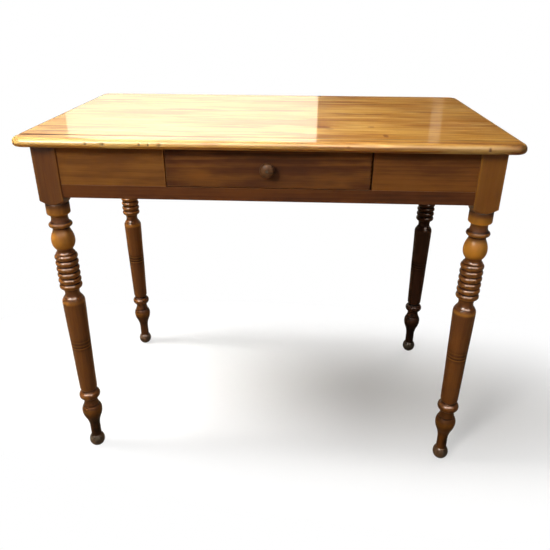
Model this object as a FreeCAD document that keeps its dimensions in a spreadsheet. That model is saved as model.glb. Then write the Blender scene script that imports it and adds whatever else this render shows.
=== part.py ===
"""A table with a drawer: a boarded top, four turned legs, a frieze and one dovetailed drawer.

Sizes are millimetres. The origin is on the floor under the middle of the top, +Z is up,
+X runs along the table and the front, with the drawer, faces -Y.
"""
import FreeCAD
import Part
import Sketcher

import math
import operator
import os
from types import SimpleNamespace

SIZES = {
    # Whole table and the boards of its top
    "table_height": 740,
    "top_length": 914,
    "top_depth": 546,
    "top_thickness": 17,
    "top_corner_radius": 26,
    "top_upper_round": 10,
    "top_lower_round": 6,
    "front_board_width": 36,
    "second_board_width": 174,
    "third_board_width": 160,
    "end_overhang": 28,
    "side_overhang": 25,
    # Square block at the head of each leg
    "leg_block": 46,
    "leg_block_length": 115,
    "shoulder_radius": 21.5,
    "shoulder_rise": 10,
    # Foot, ankle and lower bulb, from the floor up
    "foot_flat_radius": 7,
    "foot_lower_height": 17,
    "foot_radius": 17.4,
    "foot_upper_height": 14,
    "ankle_radius": 11.6,
    "ankle_height": 27,
    "flare_height": 28,
    "flare_radius": 17.9,
    "bulb_lower_height": 20,
    "bulb_radius": 22.3,
    "bulb_upper_height": 13.5,
    "bulb_shoulder_radius": 18.2,
    "bulb_fillet_radius": 16.8,
    "bulb_fillet_height": 4,
    # Ring between the lower bulb and the column
    "ring_neck_height": 8.5,
    "ring_neck_radius": 14.9,
    "ring_edge_height": 7,
    "ring_edge_radius": 16.2,
    "ring_half_height": 10,
    "ring_radius": 22.8,
    "column_neck_height": 2.5,
    "column_neck_radius": 15.1,
    "column_flare_height": 3,
    "column_flare_radius": 17.2,
    "column_foot_height": 6.5,
    "column_foot_radius": 18.7,
    # Head of the column and the neck above it, from the collar down
    "collar_round_height": 3,
    "collar_top_radius": 20.8,
    "collar_height": 17,
    "collar_radius": 22.6,
    "collar_foot_height": 4,
    "collar_foot_radius": 19.5,
    "collar_neck_height": 6,
    "collar_neck_radius": 16.1,
    "disc_cove_height": 11,
    "disc_fillet_radius": 18.6,
    "disc_edge_radius": 19.8,
    "disc_upper_height": 4.5,
    "disc_radius": 22.6,
    "disc_lower_height": 4.5,
    "disc_under_radius": 18.5,
    "vase_neck_height": 3,
    "vase_neck_radius": 16.4,
    "vase_top_height": 7,
    "vase_top_radius": 18,
    "vase_upper_height": 20,
    "vase_radius": 23.1,
    "vase_lower_height": 15,
    "vase_foot_radius": 18.5,
    "vase_foot_height": 5,
    "bead_neck_radius": 16,
    "bead_cove_height": 6.4,
    "bead_fillet_radius": 19.3,
    "bead_fillet_height": 1.5,
    "bead_half_height": 6.55,
    "bead_radius": 22.9,
    "bead_groove_radius": 17.5,
    "column_cove_height": 10,
    "column_cove_radius": 14.9,
    "column_fillet_cove": 10.5,
    "column_fillet_radius": 19.3,
    "column_fillet_height": 2,
    "column_edge_radius": 20.5,
    "column_round_height": 9,
    "column_top_radius": 23.1,
    # Fine lines cut while the leg turns
    "line_width": 1.2,
    "line_depth": 0.7,
    "line_pitch": 7,
    "line_height": 288,
    "ring_line_drop": 2,
    "disc_line_rise": 2.6,
    # Frieze and its joints
    "apron_depth": 100,
    "apron_thickness": 20,
    "apron_setback": 3,
    "tenon_length": 18,
    "tenon_thickness": 8,
    "tenon_shoulder": 10,
    "mortise_gap": 0.5,
    "rail_height": 25,
    "rail_depth": 40,
    "rail_tenon_width": 9,
    "rail_tenon_inset": 6,
    "rail_tenon_shoulder": 4,
    "left_panel_length": 198,
    "panel_tongue_height": 6,
    "panel_tongue_thickness": 6,
    "panel_tongue_stop": 12,
    # Bearings of the drawer
    "runner_width": 30,
    "runner_height": 22,
    "runner_tongue_length": 10,
    "runner_tongue_height": 8,
    "runner_housing": 6,
    "guide_width": 14,
    "guide_top_clearance": 6,
    "guide_gap": 0.9,
    "stop_width": 24,
    "stop_depth": 12,
    "stop_height": 6,
    "stop_spacing": 220,
    "stop_clearance": 0.2,
    # Blocks and screws that hold the top
    "fixing_block_length": 50,
    "fixing_block_width": 22,
    "fixing_block_height": 22,
    "fixing_leg_clearance": 27,
    "screw_length": 32,
    "screw_radius": 2,
    "screw_head_radius": 4,
    "screw_head_height": 2.6,
    "screw_tip_length": 5,
    "screw_tip_radius": 0.4,
    "screw_slot_width": 1,
    "screw_slot_depth": 1.2,
    "screw_ease": 0.05,
    # Drawer
    "drawer_opening": 380,
    "drawer_gap_left": 2,
    "drawer_gap_right": 4,
    "drawer_gap_top": 1.2,
    "drawer_gap_bottom": 1.5,
    "drawer_back_clearance": 30,
    "drawer_front_thickness": 20,
    "drawer_lap": 6,
    "drawer_side_thickness": 10,
    "drawer_back_thickness": 10,
    "drawer_back_drop": 6,
    "drawer_bottom_thickness": 6,
    "drawer_bottom_rise": 9,
    "groove_depth": 5,
    "slide_clearance": 0.3,
    "tail_base": 12,
    "tail_flare": 2,
    "nail_radius": 0.9,
    "nail_length": 24,
    "nail_head_radius": 2.2,
    "nail_head_height": 0.8,
    "nail_spacing": 130,
    # Knob and its screw
    "knob_base_radius": 8.5,
    "knob_neck_height": 4.5,
    "knob_neck_radius": 7.2,
    "knob_flare_height": 3.5,
    "knob_flare_radius": 10,
    "knob_lower_height": 5.5,
    "knob_radius": 14,
    "knob_upper_height": 7,
    "knob_face_radius": 9,
    "knob_crown_height": 1.5,
    "knob_crown_radius": 4.5,
    "knob_screw_radius": 1.8,
    "knob_screw_head_radius": 2.9,
    "knob_screw_head_height": 1.8,
    "knob_screw_sink": 0.6,
    "knob_screw_grip": 12,
}

LEFT, RIGHT = -1, 1
FRONT, BACK = -1, 1
SIDES = {"left": LEFT, "right": RIGHT}
BEAD_COUNT = 6
COLUMN_LINE_COUNT = 3
FRONT_TAIL_COUNT = 3
BACK_TAIL_COUNT = 2
NAIL_COUNT = 3
# The upper and the lower rounding of the top take at most these shares of its thickness
UPPER_ROUND_SHARE = 0.60
LOWER_ROUND_SHARE = 0.36
# How far a cutting outline reaches past what it cuts, as a share of its width
CUT_REACH = 0.75

ADD, CUT = "Additive", "Subtractive"
LINE, LEVEL_AT_END, LEVEL_AT_START = "line", "level_at_end", "level_at_start"
UPRIGHT = FreeCAD.Rotation()
OUT_OF_FRONT = FreeCAD.Rotation(FreeCAD.Vector(1, 0, 0), 90)
INTO_FRONT = FreeCAD.Rotation(FreeCAD.Vector(1, 0, 0), -90)


class Size:
    """A length that keeps the formula it comes from beside its value."""

    def __init__(self, value, formula):
        self.value = value
        self.formula = formula

    def __add__(self, other):
        return combine(operator.add, "+", self, other)

    def __radd__(self, other):
        return combine(operator.add, "+", other, self)

    def __sub__(self, other):
        return combine(operator.sub, "-", self, other)

    def __rsub__(self, other):
        return combine(operator.sub, "-", other, self)

    def __mul__(self, other):
        return combine(operator.mul, "*", self, other)

    def __rmul__(self, other):
        return combine(operator.mul, "*", other, self)

    def __truediv__(self, other):
        return combine(operator.truediv, "/", self, other)

    def __neg__(self):
        return Size(-self.value, f"(-1 * {self.formula})")


def as_size(amount):
    """Give a plain number the same form as a size."""
    return amount if isinstance(amount, Size) else Size(amount, f"({amount})")


def combine(operation, sign, left, right):
    """Work out a size from two others and write down its formula."""
    left, right = as_size(left), as_size(right)
    return Size(operation(left.value, right.value), f"({left.formula} {sign} {right.formula})")


def smaller(one, other):
    """The smaller of two sizes."""
    return Size(min(one.value, other.value), f"min({one.formula}; {other.formula})")


def write_sheet():
    """Put every driving dimension into the sheet, one row each."""
    sheet = doc.addObject("Spreadsheet::Sheet", "sizes")
    for row, (name, value) in enumerate(SIZES.items(), start=1):
        sheet.set(f"A{row}", name)
        sheet.set(f"B{row}", str(value))
        sheet.setAlias(f"B{row}", name)
    doc.recompute()


def bind(feature, prop, amount):
    """Tie one property to the formula of a size."""
    feature.setExpression(prop, as_size(amount).formula)


def place(thing, x, y, z, rotation=UPRIGHT):
    """Turn an object and tie its place to three sizes."""
    thing.Placement = FreeCAD.Placement(FreeCAD.Vector(), rotation)
    for axis, amount in zip("xyz", (x, y, z)):
        bind(thing, f"Placement.Base.{axis}", amount)


def new_body(name, x, y, z, rotation=UPRIGHT):
    """Start a piece with its own name and place."""
    body = doc.addObject("PartDesign::Body", name)
    body.Label = name
    place(body, x, y, z, rotation)
    return body


def box(body, kind, name, corner, opposite):
    """Add or cut a box between two opposite corners."""
    feature = body.newObject(f"PartDesign::{kind}Box", name)
    lows = []
    for prop, one, other in zip(("Length", "Width", "Height"), corner, opposite):
        low, high = sorted((as_size(one), as_size(other)), key=lambda amount: amount.value)
        bind(feature, prop, high - low)
        lows.append(low)
    place(feature, *lows)
    return feature


def rod(body, kind, name, base, radius, length, rotation=UPRIGHT):
    """Add or cut a round rod that starts at a base point."""
    feature = body.newObject(f"PartDesign::{kind}Cylinder", name)
    bind(feature, "Radius", radius)
    bind(feature, "Height", length)
    place(feature, *base, rotation)
    return feature


def cone(body, kind, name, base, base_radius, end_radius, length):
    """Add or cut an upright cone."""
    feature = body.newObject(f"PartDesign::{kind}Cone", name)
    bind(feature, "Radius1", base_radius)
    bind(feature, "Radius2", end_radius)
    bind(feature, "Height", length)
    place(feature, *base)
    return feature


def round_edges(body, name, base, wanted, radius):
    """Round the edges of a feature whose bounds pass a test."""
    doc.recompute()
    names = [f"Edge{number}" for number, edge in enumerate(base.Shape.Edges, start=1)
             if wanted(edge.BoundBox)]
    fillet = body.newObject("PartDesign::Fillet", name)
    fillet.Base = (base, names)
    bind(fillet, "Radius", radius)
    return fillet


def sketch_upright(body, name):
    """Start a sketch in the body's own X-Z plane."""
    plane = next(feature for feature in body.Origin.OriginFeatures if feature.Role == "XZ_Plane")
    sketch = body.newObject("Sketcher::SketchObject", name)
    sketch.AttachmentSupport = [(plane, "")]
    sketch.MapMode = "FlatFace"
    return sketch


def arc_between(low, high, level):
    """An arc between two points whose centre is level with one of them, and whether it bulges out."""
    other = high if level is low else low
    reach = level.x - other.x
    swing = (reach ** 2 + (other.y - level.y) ** 2) / (2 * reach)
    centre = FreeCAD.Vector(level.x - swing, level.y, 0)
    bulges = swing > 0
    first, last = (low, high) if bulges else (high, low)
    angles = [math.atan2(end.y - centre.y, end.x - centre.x) % math.tau for end in (first, last)]
    if angles[0] > angles[1]:
        angles[0] -= math.tau
    circle = Part.Circle(centre, FreeCAD.Vector(0, 0, 1), abs(swing))
    return Part.ArcOfCircle(circle, *angles), bulges


def pins(geometry, end, across, up):
    """Hold one point of a sketch at its distances from the origin."""
    for kind, amount, axis in (("DistanceX", across, -2), ("DistanceY", up, -1)):
        if amount.value == 0:
            yield Sketcher.Constraint("PointOnObject", geometry, end, axis), None
        else:
            yield Sketcher.Constraint(kind, -1, 1, geometry, end, amount.value), amount


def draw(sketch, outline):
    """Draw a closed outline through points of (across, up, kind of stretch that leads there)."""
    points = [(as_size(across), as_size(up), kind) for across, up, kind in outline]
    spots = [FreeCAD.Vector(across.value, up.value, 0) for across, up, kind in points]
    stretches, joints = [], []
    for number, (across, up, kind) in enumerate(points):
        start, stop = spots[number - 1], spots[number]
        geometry = sketch.GeometryCount + number
        if kind == LINE:
            stretches.append(Part.LineSegment(start, stop))
            joints.append((geometry, 1, 2))
            continue
        arc, bulges = arc_between(start, stop, stop if kind == LEVEL_AT_END else start)
        stretches.append(arc)
        joints.append((geometry, 1, 2) if bulges else (geometry, 2, 1))
    rules = []
    for number, (across, up, kind) in enumerate(points):
        geometry, start, stop = joints[number]
        following = joints[(number + 1) % len(joints)]
        rules.append((Sketcher.Constraint("Coincident", geometry, stop, following[0], following[1]), None))
        rules.extend(pins(geometry, stop, across, up))
        if kind != LINE:
            end = stop if kind == LEVEL_AT_END else start
            rules.append((Sketcher.Constraint("Horizontal", geometry, 3, geometry, end), None))
    sketch.addGeometry(stretches)
    first_rule = sketch.ConstraintCount
    sketch.addConstraint([rule for rule, amount in rules])
    for index, (rule, amount) in enumerate(rules, start=first_rule):
        if amount is not None:
            bind(sketch, f"Constraints[{index}]", amount)


def spin(body, kind, name, outlines):
    """Turn closed outlines round the body's upright axis, to add wood or to cut it."""
    sketch = sketch_upright(body, f"{name}Outline")
    for outline in outlines:
        draw(sketch, outline)
    feature = body.newObject(f"PartDesign::{kind}", name)
    feature.Profile = sketch
    feature.ReferenceAxis = (sketch, ["V_Axis"])
    feature.Angle = 360
    return feature


def compound(name, pieces):
    """Group separate solids of one kind under one name."""
    group = doc.addObject("Part::Compound", name)
    group.Label = name
    group.Links = pieces
    return group


def keep(piece):
    """Count an object among the table's pieces."""
    kept.append(piece)
    return piece


doc = FreeCAD.newDocument("table_with_drawer")
write_sheet()
S = SimpleNamespace(**{name: Size(value, f"sizes.{name}") for name, value in SIZES.items()})
kept = []

# Places that several pieces share
top_underside = S.table_height - S.top_thickness
block_half = S.leg_block / 2
block_bottom = top_underside - S.leg_block_length
leg_x = S.top_length / 2 - S.end_overhang - block_half
leg_y = S.top_depth / 2 - S.side_overhang - block_half
inner_x = leg_x - block_half
inner_y = leg_y - block_half
apron_bottom = top_underside - S.apron_depth
apron_face = block_half - S.apron_setback
apron_middle = apron_face - S.apron_thickness / 2
frieze_y = leg_y + apron_face
frieze_x = leg_x + apron_face
rail_top = apron_bottom + S.rail_height
panel_height = S.apron_depth - S.rail_height
mortise_depth = S.tenon_length + S.mortise_gap
tenon_half = S.tenon_thickness / 2
opening_left = S.left_panel_length - inner_x
opening_right = opening_left + S.drawer_opening
drawer_width = S.drawer_opening - S.drawer_gap_left - S.drawer_gap_right
drawer_half = drawer_width / 2
drawer_x = opening_left + S.drawer_gap_left + drawer_half
runner_bottom = rail_top - S.runner_height
runner_outer = drawer_half + S.guide_gap + S.guide_width
runner_inner = runner_outer - S.runner_width
tongue_low = (S.runner_height - S.runner_tongue_height) / 2
guide_height = panel_height - S.guide_top_clearance
rail_back = S.rail_depth - frieze_y
apron_inside = frieze_y - S.apron_thickness
drawer_depth = frieze_y + apron_inside - S.drawer_back_clearance
fixing_x = frieze_x - S.apron_thickness - S.fixing_block_width / 2
fixing_bottom = top_underside - S.fixing_block_height
fixing_row = inner_y - S.fixing_leg_clearance - S.fixing_block_length / 2
panel_lengths = {LEFT: S.left_panel_length, RIGHT: inner_x - opening_right}
rail_tenons = (S.rail_tenon_inset, S.rail_depth - S.rail_tenon_inset - S.rail_tenon_width)


def climb(height, stretches):
    """Stack stretches of (rise, radius, kind) above a height, as points of (radius, height, kind)."""
    points = []
    for rise, radius, kind in stretches:
        height = height + rise
        points.append((radius, height, kind))
    return points


def leg_outline():
    """The turned part of a leg, from the floor to the block, as points of (radius, height, kind)."""
    lower = [
        (S.foot_lower_height, S.foot_radius, LEVEL_AT_END),
        (S.foot_upper_height, S.ankle_radius, LEVEL_AT_START),
        (S.ankle_height, S.ankle_radius, LINE),
        (S.flare_height, S.flare_radius, LEVEL_AT_START),
        (S.bulb_lower_height, S.bulb_radius, LEVEL_AT_END),
        (S.bulb_upper_height, S.bulb_shoulder_radius, LEVEL_AT_START),
        (0, S.bulb_fillet_radius, LINE),
        (S.bulb_fillet_height, S.bulb_fillet_radius, LINE),
        (S.ring_neck_height, S.ring_neck_radius, LEVEL_AT_END),
        (S.ring_edge_height, S.ring_edge_radius, LEVEL_AT_START),
        (S.ring_half_height, S.ring_radius, LEVEL_AT_END),
        (S.ring_half_height, S.ring_edge_radius, LEVEL_AT_START),
        (S.column_neck_height, S.column_neck_radius, LEVEL_AT_END),
        (S.column_flare_height, S.column_flare_radius, LEVEL_AT_START),
        (S.column_foot_height, S.column_foot_radius, LEVEL_AT_END),
    ]
    bead = [
        (S.bead_half_height, S.bead_radius, LEVEL_AT_END),
        (S.bead_half_height, S.bead_groove_radius, LEVEL_AT_START),
    ]
    upper = [
        (S.column_round_height, S.column_edge_radius, LEVEL_AT_START),
        (0, S.column_fillet_radius, LINE),
        (S.column_fillet_height, S.column_fillet_radius, LINE),
        (S.column_fillet_cove, S.column_cove_radius, LEVEL_AT_END),
        (S.column_cove_height, S.bead_groove_radius, LEVEL_AT_START),
        *bead * BEAD_COUNT,
        (0, S.bead_fillet_radius, LINE),
        (S.bead_fillet_height, S.bead_fillet_radius, LINE),
        (S.bead_cove_height, S.bead_neck_radius, LEVEL_AT_END),
        (S.vase_foot_height, S.vase_foot_radius, LEVEL_AT_START),
        (S.vase_lower_height, S.vase_radius, LEVEL_AT_END),
        (S.vase_upper_height, S.vase_top_radius, LEVEL_AT_START),
        (S.vase_top_height, S.vase_neck_radius, LEVEL_AT_END),
        (S.vase_neck_height, S.disc_under_radius, LEVEL_AT_START),
        (S.disc_lower_height, S.disc_radius, LEVEL_AT_END),
        (S.disc_upper_height, S.disc_edge_radius, LEVEL_AT_START),
        (0, S.disc_fillet_radius, LINE),
        (S.disc_cove_height, S.collar_neck_radius, LEVEL_AT_END),
        (S.collar_neck_height, S.collar_foot_radius, LEVEL_AT_START),
        (S.collar_foot_height, S.collar_radius, LEVEL_AT_END),
        (S.collar_height, S.collar_radius, LINE),
        (S.collar_round_height, S.collar_top_radius, LEVEL_AT_START),
    ]
    # The plain tapered column takes up whatever height is left under the upper turnings
    column_top = block_bottom
    for rise, radius, kind in upper:
        column_top = column_top - rise
    points = [
        (0, 0, LINE),
        (S.foot_flat_radius, 0, LINE),
        *climb(as_size(0), lower),
        (S.column_top_radius, column_top, LINE),
        *climb(column_top, upper),
        (0, block_bottom, LINE),
    ]
    return points


def fine_lines(outline):
    """Small square cuts: three on the column, one on the ring and one on the disc."""
    heights = {radius: height for radius, height, kind in outline}
    foot, head = heights[S.column_foot_radius], heights[S.column_top_radius]
    taper = (S.column_top_radius - S.column_foot_radius) / (head - foot)
    places = []
    for number in range(COLUMN_LINE_COUNT):
        height = S.line_height + (number - (COLUMN_LINE_COUNT - 1) / 2) * S.line_pitch
        places.append((height, S.column_foot_radius + (height - foot) * taper))
    places.append((heights[S.ring_radius] - S.ring_line_drop, S.ring_radius))
    places.append((heights[S.disc_radius] + S.disc_line_rise, S.disc_radius))
    cuts = []
    for height, radius in places:
        low, high = height - S.line_width / 2, height + S.line_width / 2
        inner, outer = radius - S.line_depth, radius + S.line_depth
        cuts.append([(inner, low, LINE), (outer, low, LINE), (outer, high, LINE), (inner, high, LINE)])
    return cuts


def make_leg_blank():
    """The block and the turning that all four legs share, before their mortises."""
    body = new_body("leg_blank", 0, 0, 0)
    box(body, ADD, "Block", (-block_half, -block_half, block_bottom), (block_half, block_half, top_underside))
    past_corner = S.leg_block * CUT_REACH
    spin(body, "Groove", "Shoulder", [[
        (S.shoulder_radius, block_bottom, LINE),
        (past_corner, block_bottom, LINE),
        (past_corner, block_bottom + S.shoulder_rise, LINE),
    ]])
    outline = leg_outline()
    spin(body, "Revolution", "Turning", [outline])
    spin(body, "Groove", "FineLines", fine_lines(outline))
    return body


def make_mortises(name, side, face):
    """The slots that one leg needs for the tenons that meet it, about the axis of the leg."""
    slots = new_body(name, 0, 0, 0)
    slots.AllowCompound = True
    open_x, deep_x = -side * block_half, -side * (block_half - mortise_depth)
    open_y, deep_y = -face * block_half, -face * (block_half - mortise_depth)
    tenon_top = top_underside - S.tenon_shoulder
    box(slots, ADD, "SideMortise",
        (side * apron_middle - tenon_half, open_y, apron_bottom + S.tenon_shoulder),
        (side * apron_middle + tenon_half, deep_y, tenon_top))
    tenon_bottom = (rail_top if face == FRONT else apron_bottom) + S.tenon_shoulder
    box(slots, ADD, "FriezeMortise",
        (open_x, face * apron_middle - tenon_half, tenon_bottom),
        (deep_x, face * apron_middle + tenon_half, tenon_top))
    if face == FRONT:
        for number, inset in enumerate(rail_tenons):
            near = inset - apron_face
            box(slots, ADD, f"RailMortise{number}",
                (open_x, near, apron_bottom + S.rail_tenon_shoulder),
                (deep_x, near + S.rail_tenon_width, rail_top - S.rail_tenon_shoulder))
    return slots


def make_legs():
    """The four legs, turned alike and then mortised for their corners."""
    blank = make_leg_blank()
    for face_name, face in {"front": FRONT, "back": BACK}.items():
        for side_name, side in SIDES.items():
            corner = f"{face_name}_{side_name}"
            leg = doc.addObject("Part::Cut", f"leg_{corner}")
            leg.Label = f"leg_{corner}"
            leg.Base = blank
            leg.Tool = make_mortises(f"mortises_{corner}", side, face)
            place(leg, side * leg_x, face * leg_y, 0)
            keep(leg)


def make_front_rail():
    """The rail under the drawer, with twin tenons, grooves for the panels and slots for the runners."""
    body = new_body("front_rail", 0, -frieze_y, apron_bottom)
    box(body, ADD, "Rail", (-inner_x, 0, 0), (inner_x, S.rail_depth, S.rail_height))
    reach = inner_x + S.tenon_length
    for number, inset in enumerate(rail_tenons):
        box(body, ADD, f"Tenon{number}",
            (-reach, inset, S.rail_tenon_shoulder),
            (reach, inset + S.rail_tenon_width, S.rail_height - S.rail_tenon_shoulder))
    middle = S.apron_thickness / 2
    for side_name, side in SIDES.items():
        tongue_end = inner_x - (panel_lengths[side] - S.panel_tongue_stop)
        box(body, CUT, f"Groove_{side_name}",
            (side * inner_x, middle - S.panel_tongue_thickness / 2, S.rail_height - S.panel_tongue_height),
            (side * tongue_end, middle + S.panel_tongue_thickness / 2, S.rail_height))
        low = S.rail_height - S.runner_height + tongue_low
        box(body, CUT, f"Slot_{side_name}",
            (drawer_x + side * runner_outer, S.rail_depth - S.runner_tongue_length, low),
            (drawer_x + side * runner_inner, S.rail_depth, low + S.runner_tongue_height))
    return keep(body)


def make_front_panels():
    """The fixed panels of the frieze, left and right of the drawer."""
    middle = S.apron_thickness / 2
    for side_name, side in SIDES.items():
        length = panel_lengths[side]
        body = new_body(f"front_panel_{side_name}", side * inner_x, -frieze_y, rail_top)
        box(body, ADD, "Panel", (0, 0, 0), (-side * length, S.apron_thickness, panel_height))
        box(body, ADD, "Tenon",
            (0, middle - tenon_half, S.tenon_shoulder),
            (side * S.tenon_length, middle + tenon_half, panel_height - S.tenon_shoulder))
        box(body, ADD, "Tongue",
            (0, middle - S.panel_tongue_thickness / 2, -S.panel_tongue_height),
            (-side * (length - S.panel_tongue_stop), middle + S.panel_tongue_thickness / 2, 0))
        keep(body)


def make_aprons():
    """The side aprons and the back apron, which is housed for the runners."""
    middle = S.apron_thickness / 2
    low, high = S.tenon_shoulder, S.apron_depth - S.tenon_shoulder
    for side_name, side in SIDES.items():
        body = new_body(f"side_apron_{side_name}", side * frieze_x, 0, apron_bottom)
        reach = inner_y + S.tenon_length
        box(body, ADD, "Apron", (0, -inner_y, 0), (-side * S.apron_thickness, inner_y, S.apron_depth))
        box(body, ADD, "Tenons",
            (-side * (middle - tenon_half), -reach, low), (-side * (middle + tenon_half), reach, high))
        keep(body)
    back = new_body("back_apron", 0, frieze_y, apron_bottom)
    reach = inner_x + S.tenon_length
    box(back, ADD, "Apron", (-inner_x, 0, 0), (inner_x, -S.apron_thickness, S.apron_depth))
    box(back, ADD, "Tenons", (-reach, tenon_half - middle, low), (reach, -tenon_half - middle, high))
    for side_name, side in SIDES.items():
        box(back, CUT, f"Housing_{side_name}",
            (drawer_x + side * runner_outer, -S.apron_thickness, runner_bottom - apron_bottom),
            (drawer_x + side * runner_inner, S.runner_housing - S.apron_thickness, rail_top - apron_bottom))
    return keep(back)


def make_bearings():
    """Runners under the drawer sides, guides beside them and stops behind the drawer front."""
    length = apron_inside - rail_back
    for side_name, side in SIDES.items():
        runner = new_body(f"drawer_runner_{side_name}", drawer_x, rail_back, runner_bottom)
        box(runner, ADD, "Runner",
            (side * runner_outer, 0, 0), (side * runner_inner, length + S.runner_housing, S.runner_height))
        box(runner, ADD, "Tongue",
            (side * runner_outer, -S.runner_tongue_length, tongue_low),
            (side * runner_inner, 0, tongue_low + S.runner_tongue_height))
        keep(runner)
        guide = new_body(f"drawer_guide_{side_name}", drawer_x, rail_back, rail_top)
        box(guide, ADD, "Guide",
            (side * runner_outer, 0, 0), (side * (runner_outer - S.guide_width), length, guide_height))
        keep(guide)
    stops = []
    for side_name, side in SIDES.items():
        stop = new_body(f"stop_{side_name}", drawer_x + side * S.stop_spacing / 2,
                        S.drawer_front_thickness + S.stop_clearance - frieze_y, rail_top)
        box(stop, ADD, "Stop", (-S.stop_width / 2, 0, 0), (S.stop_width / 2, S.stop_depth, S.stop_height))
        stops.append(stop)
    keep(compound("drawer_stops", stops))


def make_screw(name, x, y, z, ease, slotted):
    """A wood screw that points up, or the hole for one when it has some ease."""
    body = new_body(name, x, y, z)
    radius = S.screw_radius + ease
    shank_end = S.screw_length - S.screw_tip_length
    cone(body, ADD, "Head", (0, 0, 0), S.screw_head_radius + ease, radius, S.screw_head_height)
    rod(body, ADD, "Shank", (0, 0, 0), radius, shank_end)
    cone(body, ADD, "Tip", (0, 0, shank_end), radius, S.screw_tip_radius + ease, S.screw_tip_length)
    if slotted:
        half = S.screw_slot_width / 2
        box(body, CUT, "Slot", (-half, -S.screw_head_radius, 0),
            (half, S.screw_head_radius, S.screw_slot_depth))
    return body


def make_fixings():
    """Blocks on the side aprons with a screw through each into the top, and the holes for them."""
    screws, holes = [], []
    for side_name, side in SIDES.items():
        blocks = []
        for row in (-1, 0, 1):
            x, y = side * fixing_x, row * fixing_row
            tag = f"{side_name}_{row + 1}"
            screws.append(make_screw(f"screw_{tag}", x, y, fixing_bottom, 0, True))
            hole = make_screw(f"hole_{tag}", x, y, fixing_bottom, S.screw_ease, False)
            holes.append(hole)
            blank = new_body(f"block_{tag}", x, y, fixing_bottom)
            half_x, half_y = S.fixing_block_width / 2, S.fixing_block_length / 2
            box(blank, ADD, "Block", (-half_x, -half_y, 0), (half_x, half_y, S.fixing_block_height))
            block = doc.addObject("Part::Cut", f"bored_block_{tag}")
            block.Base, block.Tool = blank, hole
            blocks.append(block)
        keep(compound(f"fixing_blocks_{side_name}", blocks))
    keep(compound("top_screws", screws))
    return compound("screw_holes", holes)


def make_top(screw_holes):
    """The four boards of the top, sawn from one rounded outline."""
    half_x, half_y = S.top_length / 2, S.top_depth / 2
    blank = new_body("top_blank", 0, 0, top_underside)
    feature = box(blank, ADD, "Boards", (-half_x, -half_y, 0), (half_x, half_y, S.top_thickness))
    upper_round = smaller(S.top_upper_round, S.top_thickness * UPPER_ROUND_SHARE)
    lower_round = smaller(S.top_lower_round, S.top_thickness * LOWER_ROUND_SHARE)
    middle = S.top_thickness.value / 2
    feature = round_edges(blank, "Corners", feature,
                          lambda bounds: bounds.ZLength > middle, S.top_corner_radius)
    feature = round_edges(blank, "UpperRound", feature, lambda bounds: bounds.ZMin > middle, upper_round)
    round_edges(blank, "LowerRound", feature, lambda bounds: bounds.ZMax < middle, lower_round)
    first = S.front_board_width - half_y
    second = first + S.second_board_width
    third = second + S.third_board_width
    past_edge = S.top_thickness
    spans = {
        "front": (-half_y - past_edge, first),
        "second": (first, second),
        "third": (second, third),
        "back": (third, half_y + past_edge),
    }
    for name, (near, far) in spans.items():
        slab = new_body(f"slab_{name}", 0, 0, top_underside)
        box(slab, ADD, "Slab", (-half_x - past_edge, near, -past_edge),
            (half_x + past_edge, far, S.top_thickness + past_edge))
        sawn = doc.addObject("Part::Common", f"sawn_{name}")
        sawn.Base, sawn.Tool = blank, slab
        board = doc.addObject("Part::Cut", f"top_board_{name}")
        board.Label = f"top_board_{name}"
        board.Base, board.Tool = sawn, screw_holes
        keep(board)


def tails(body, kind, side, base, tip, low, high, count):
    """Add or cut a row of dovetails at one end of a drawer side, widening from base to tip."""
    pitch = (high - low) / count
    near, far = sorted((base, tip), key=lambda amount: amount.value)
    x_low, x_high = sorted((side * drawer_half, side * (drawer_half - S.drawer_side_thickness)),
                           key=lambda amount: amount.value)
    narrow = S.tail_base / 2
    wide = narrow + S.tail_flare
    near_half, far_half = (wide, narrow) if near is tip else (narrow, wide)
    for number in range(count):
        middle = low + pitch * (number + 0.5)
        tail = body.newObject(f"PartDesign::{kind}Wedge", f"Tail_{number}")
        for prop, amount in {
                "Xmin": x_low, "X2min": x_low, "Xmax": x_high, "X2max": x_high,
                "Ymin": near, "Ymax": far,
                "Zmin": middle - near_half, "Zmax": middle + near_half,
                "Z2min": middle - far_half, "Z2max": middle + far_half}.items():
            bind(tail, prop, amount)


# Heights inside the drawer, from the top of the rail
front_low = S.drawer_gap_bottom
front_high = panel_height - S.drawer_gap_top
front_middle = (front_low + front_high) / 2
side_low = S.slide_clearance
bottom_low = S.drawer_bottom_rise
bottom_high = bottom_low + S.drawer_bottom_thickness
back_low = bottom_high
back_high = front_high - S.drawer_back_drop
inner_half = drawer_half - S.drawer_side_thickness
panel_half = inner_half + S.groove_depth
back_inside = drawer_depth - S.drawer_back_thickness


def drawer_body(name):
    """Start a piece of the drawer in the drawer's own place."""
    return new_body(name, drawer_x, -frieze_y, rail_top)


def make_drawer_front():
    """The front, with sockets for the tails of the sides, a groove for the bottom and a screw hole."""
    body = drawer_body("drawer_front")
    box(body, ADD, "Front", (-drawer_half, 0, front_low), (drawer_half, S.drawer_front_thickness, front_high))
    for side in SIDES.values():
        tails(body, CUT, side, S.drawer_front_thickness, S.drawer_lap, front_low, front_high,
              FRONT_TAIL_COUNT)
    box(body, CUT, "Groove",
        (-panel_half, S.drawer_front_thickness - S.groove_depth, bottom_low),
        (panel_half, S.drawer_front_thickness, bottom_high))
    rod(body, CUT, "ScrewHole", (0, 0, front_middle),
        S.knob_screw_radius + S.screw_ease, S.knob_screw_grip, INTO_FRONT)
    return keep(body)


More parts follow.
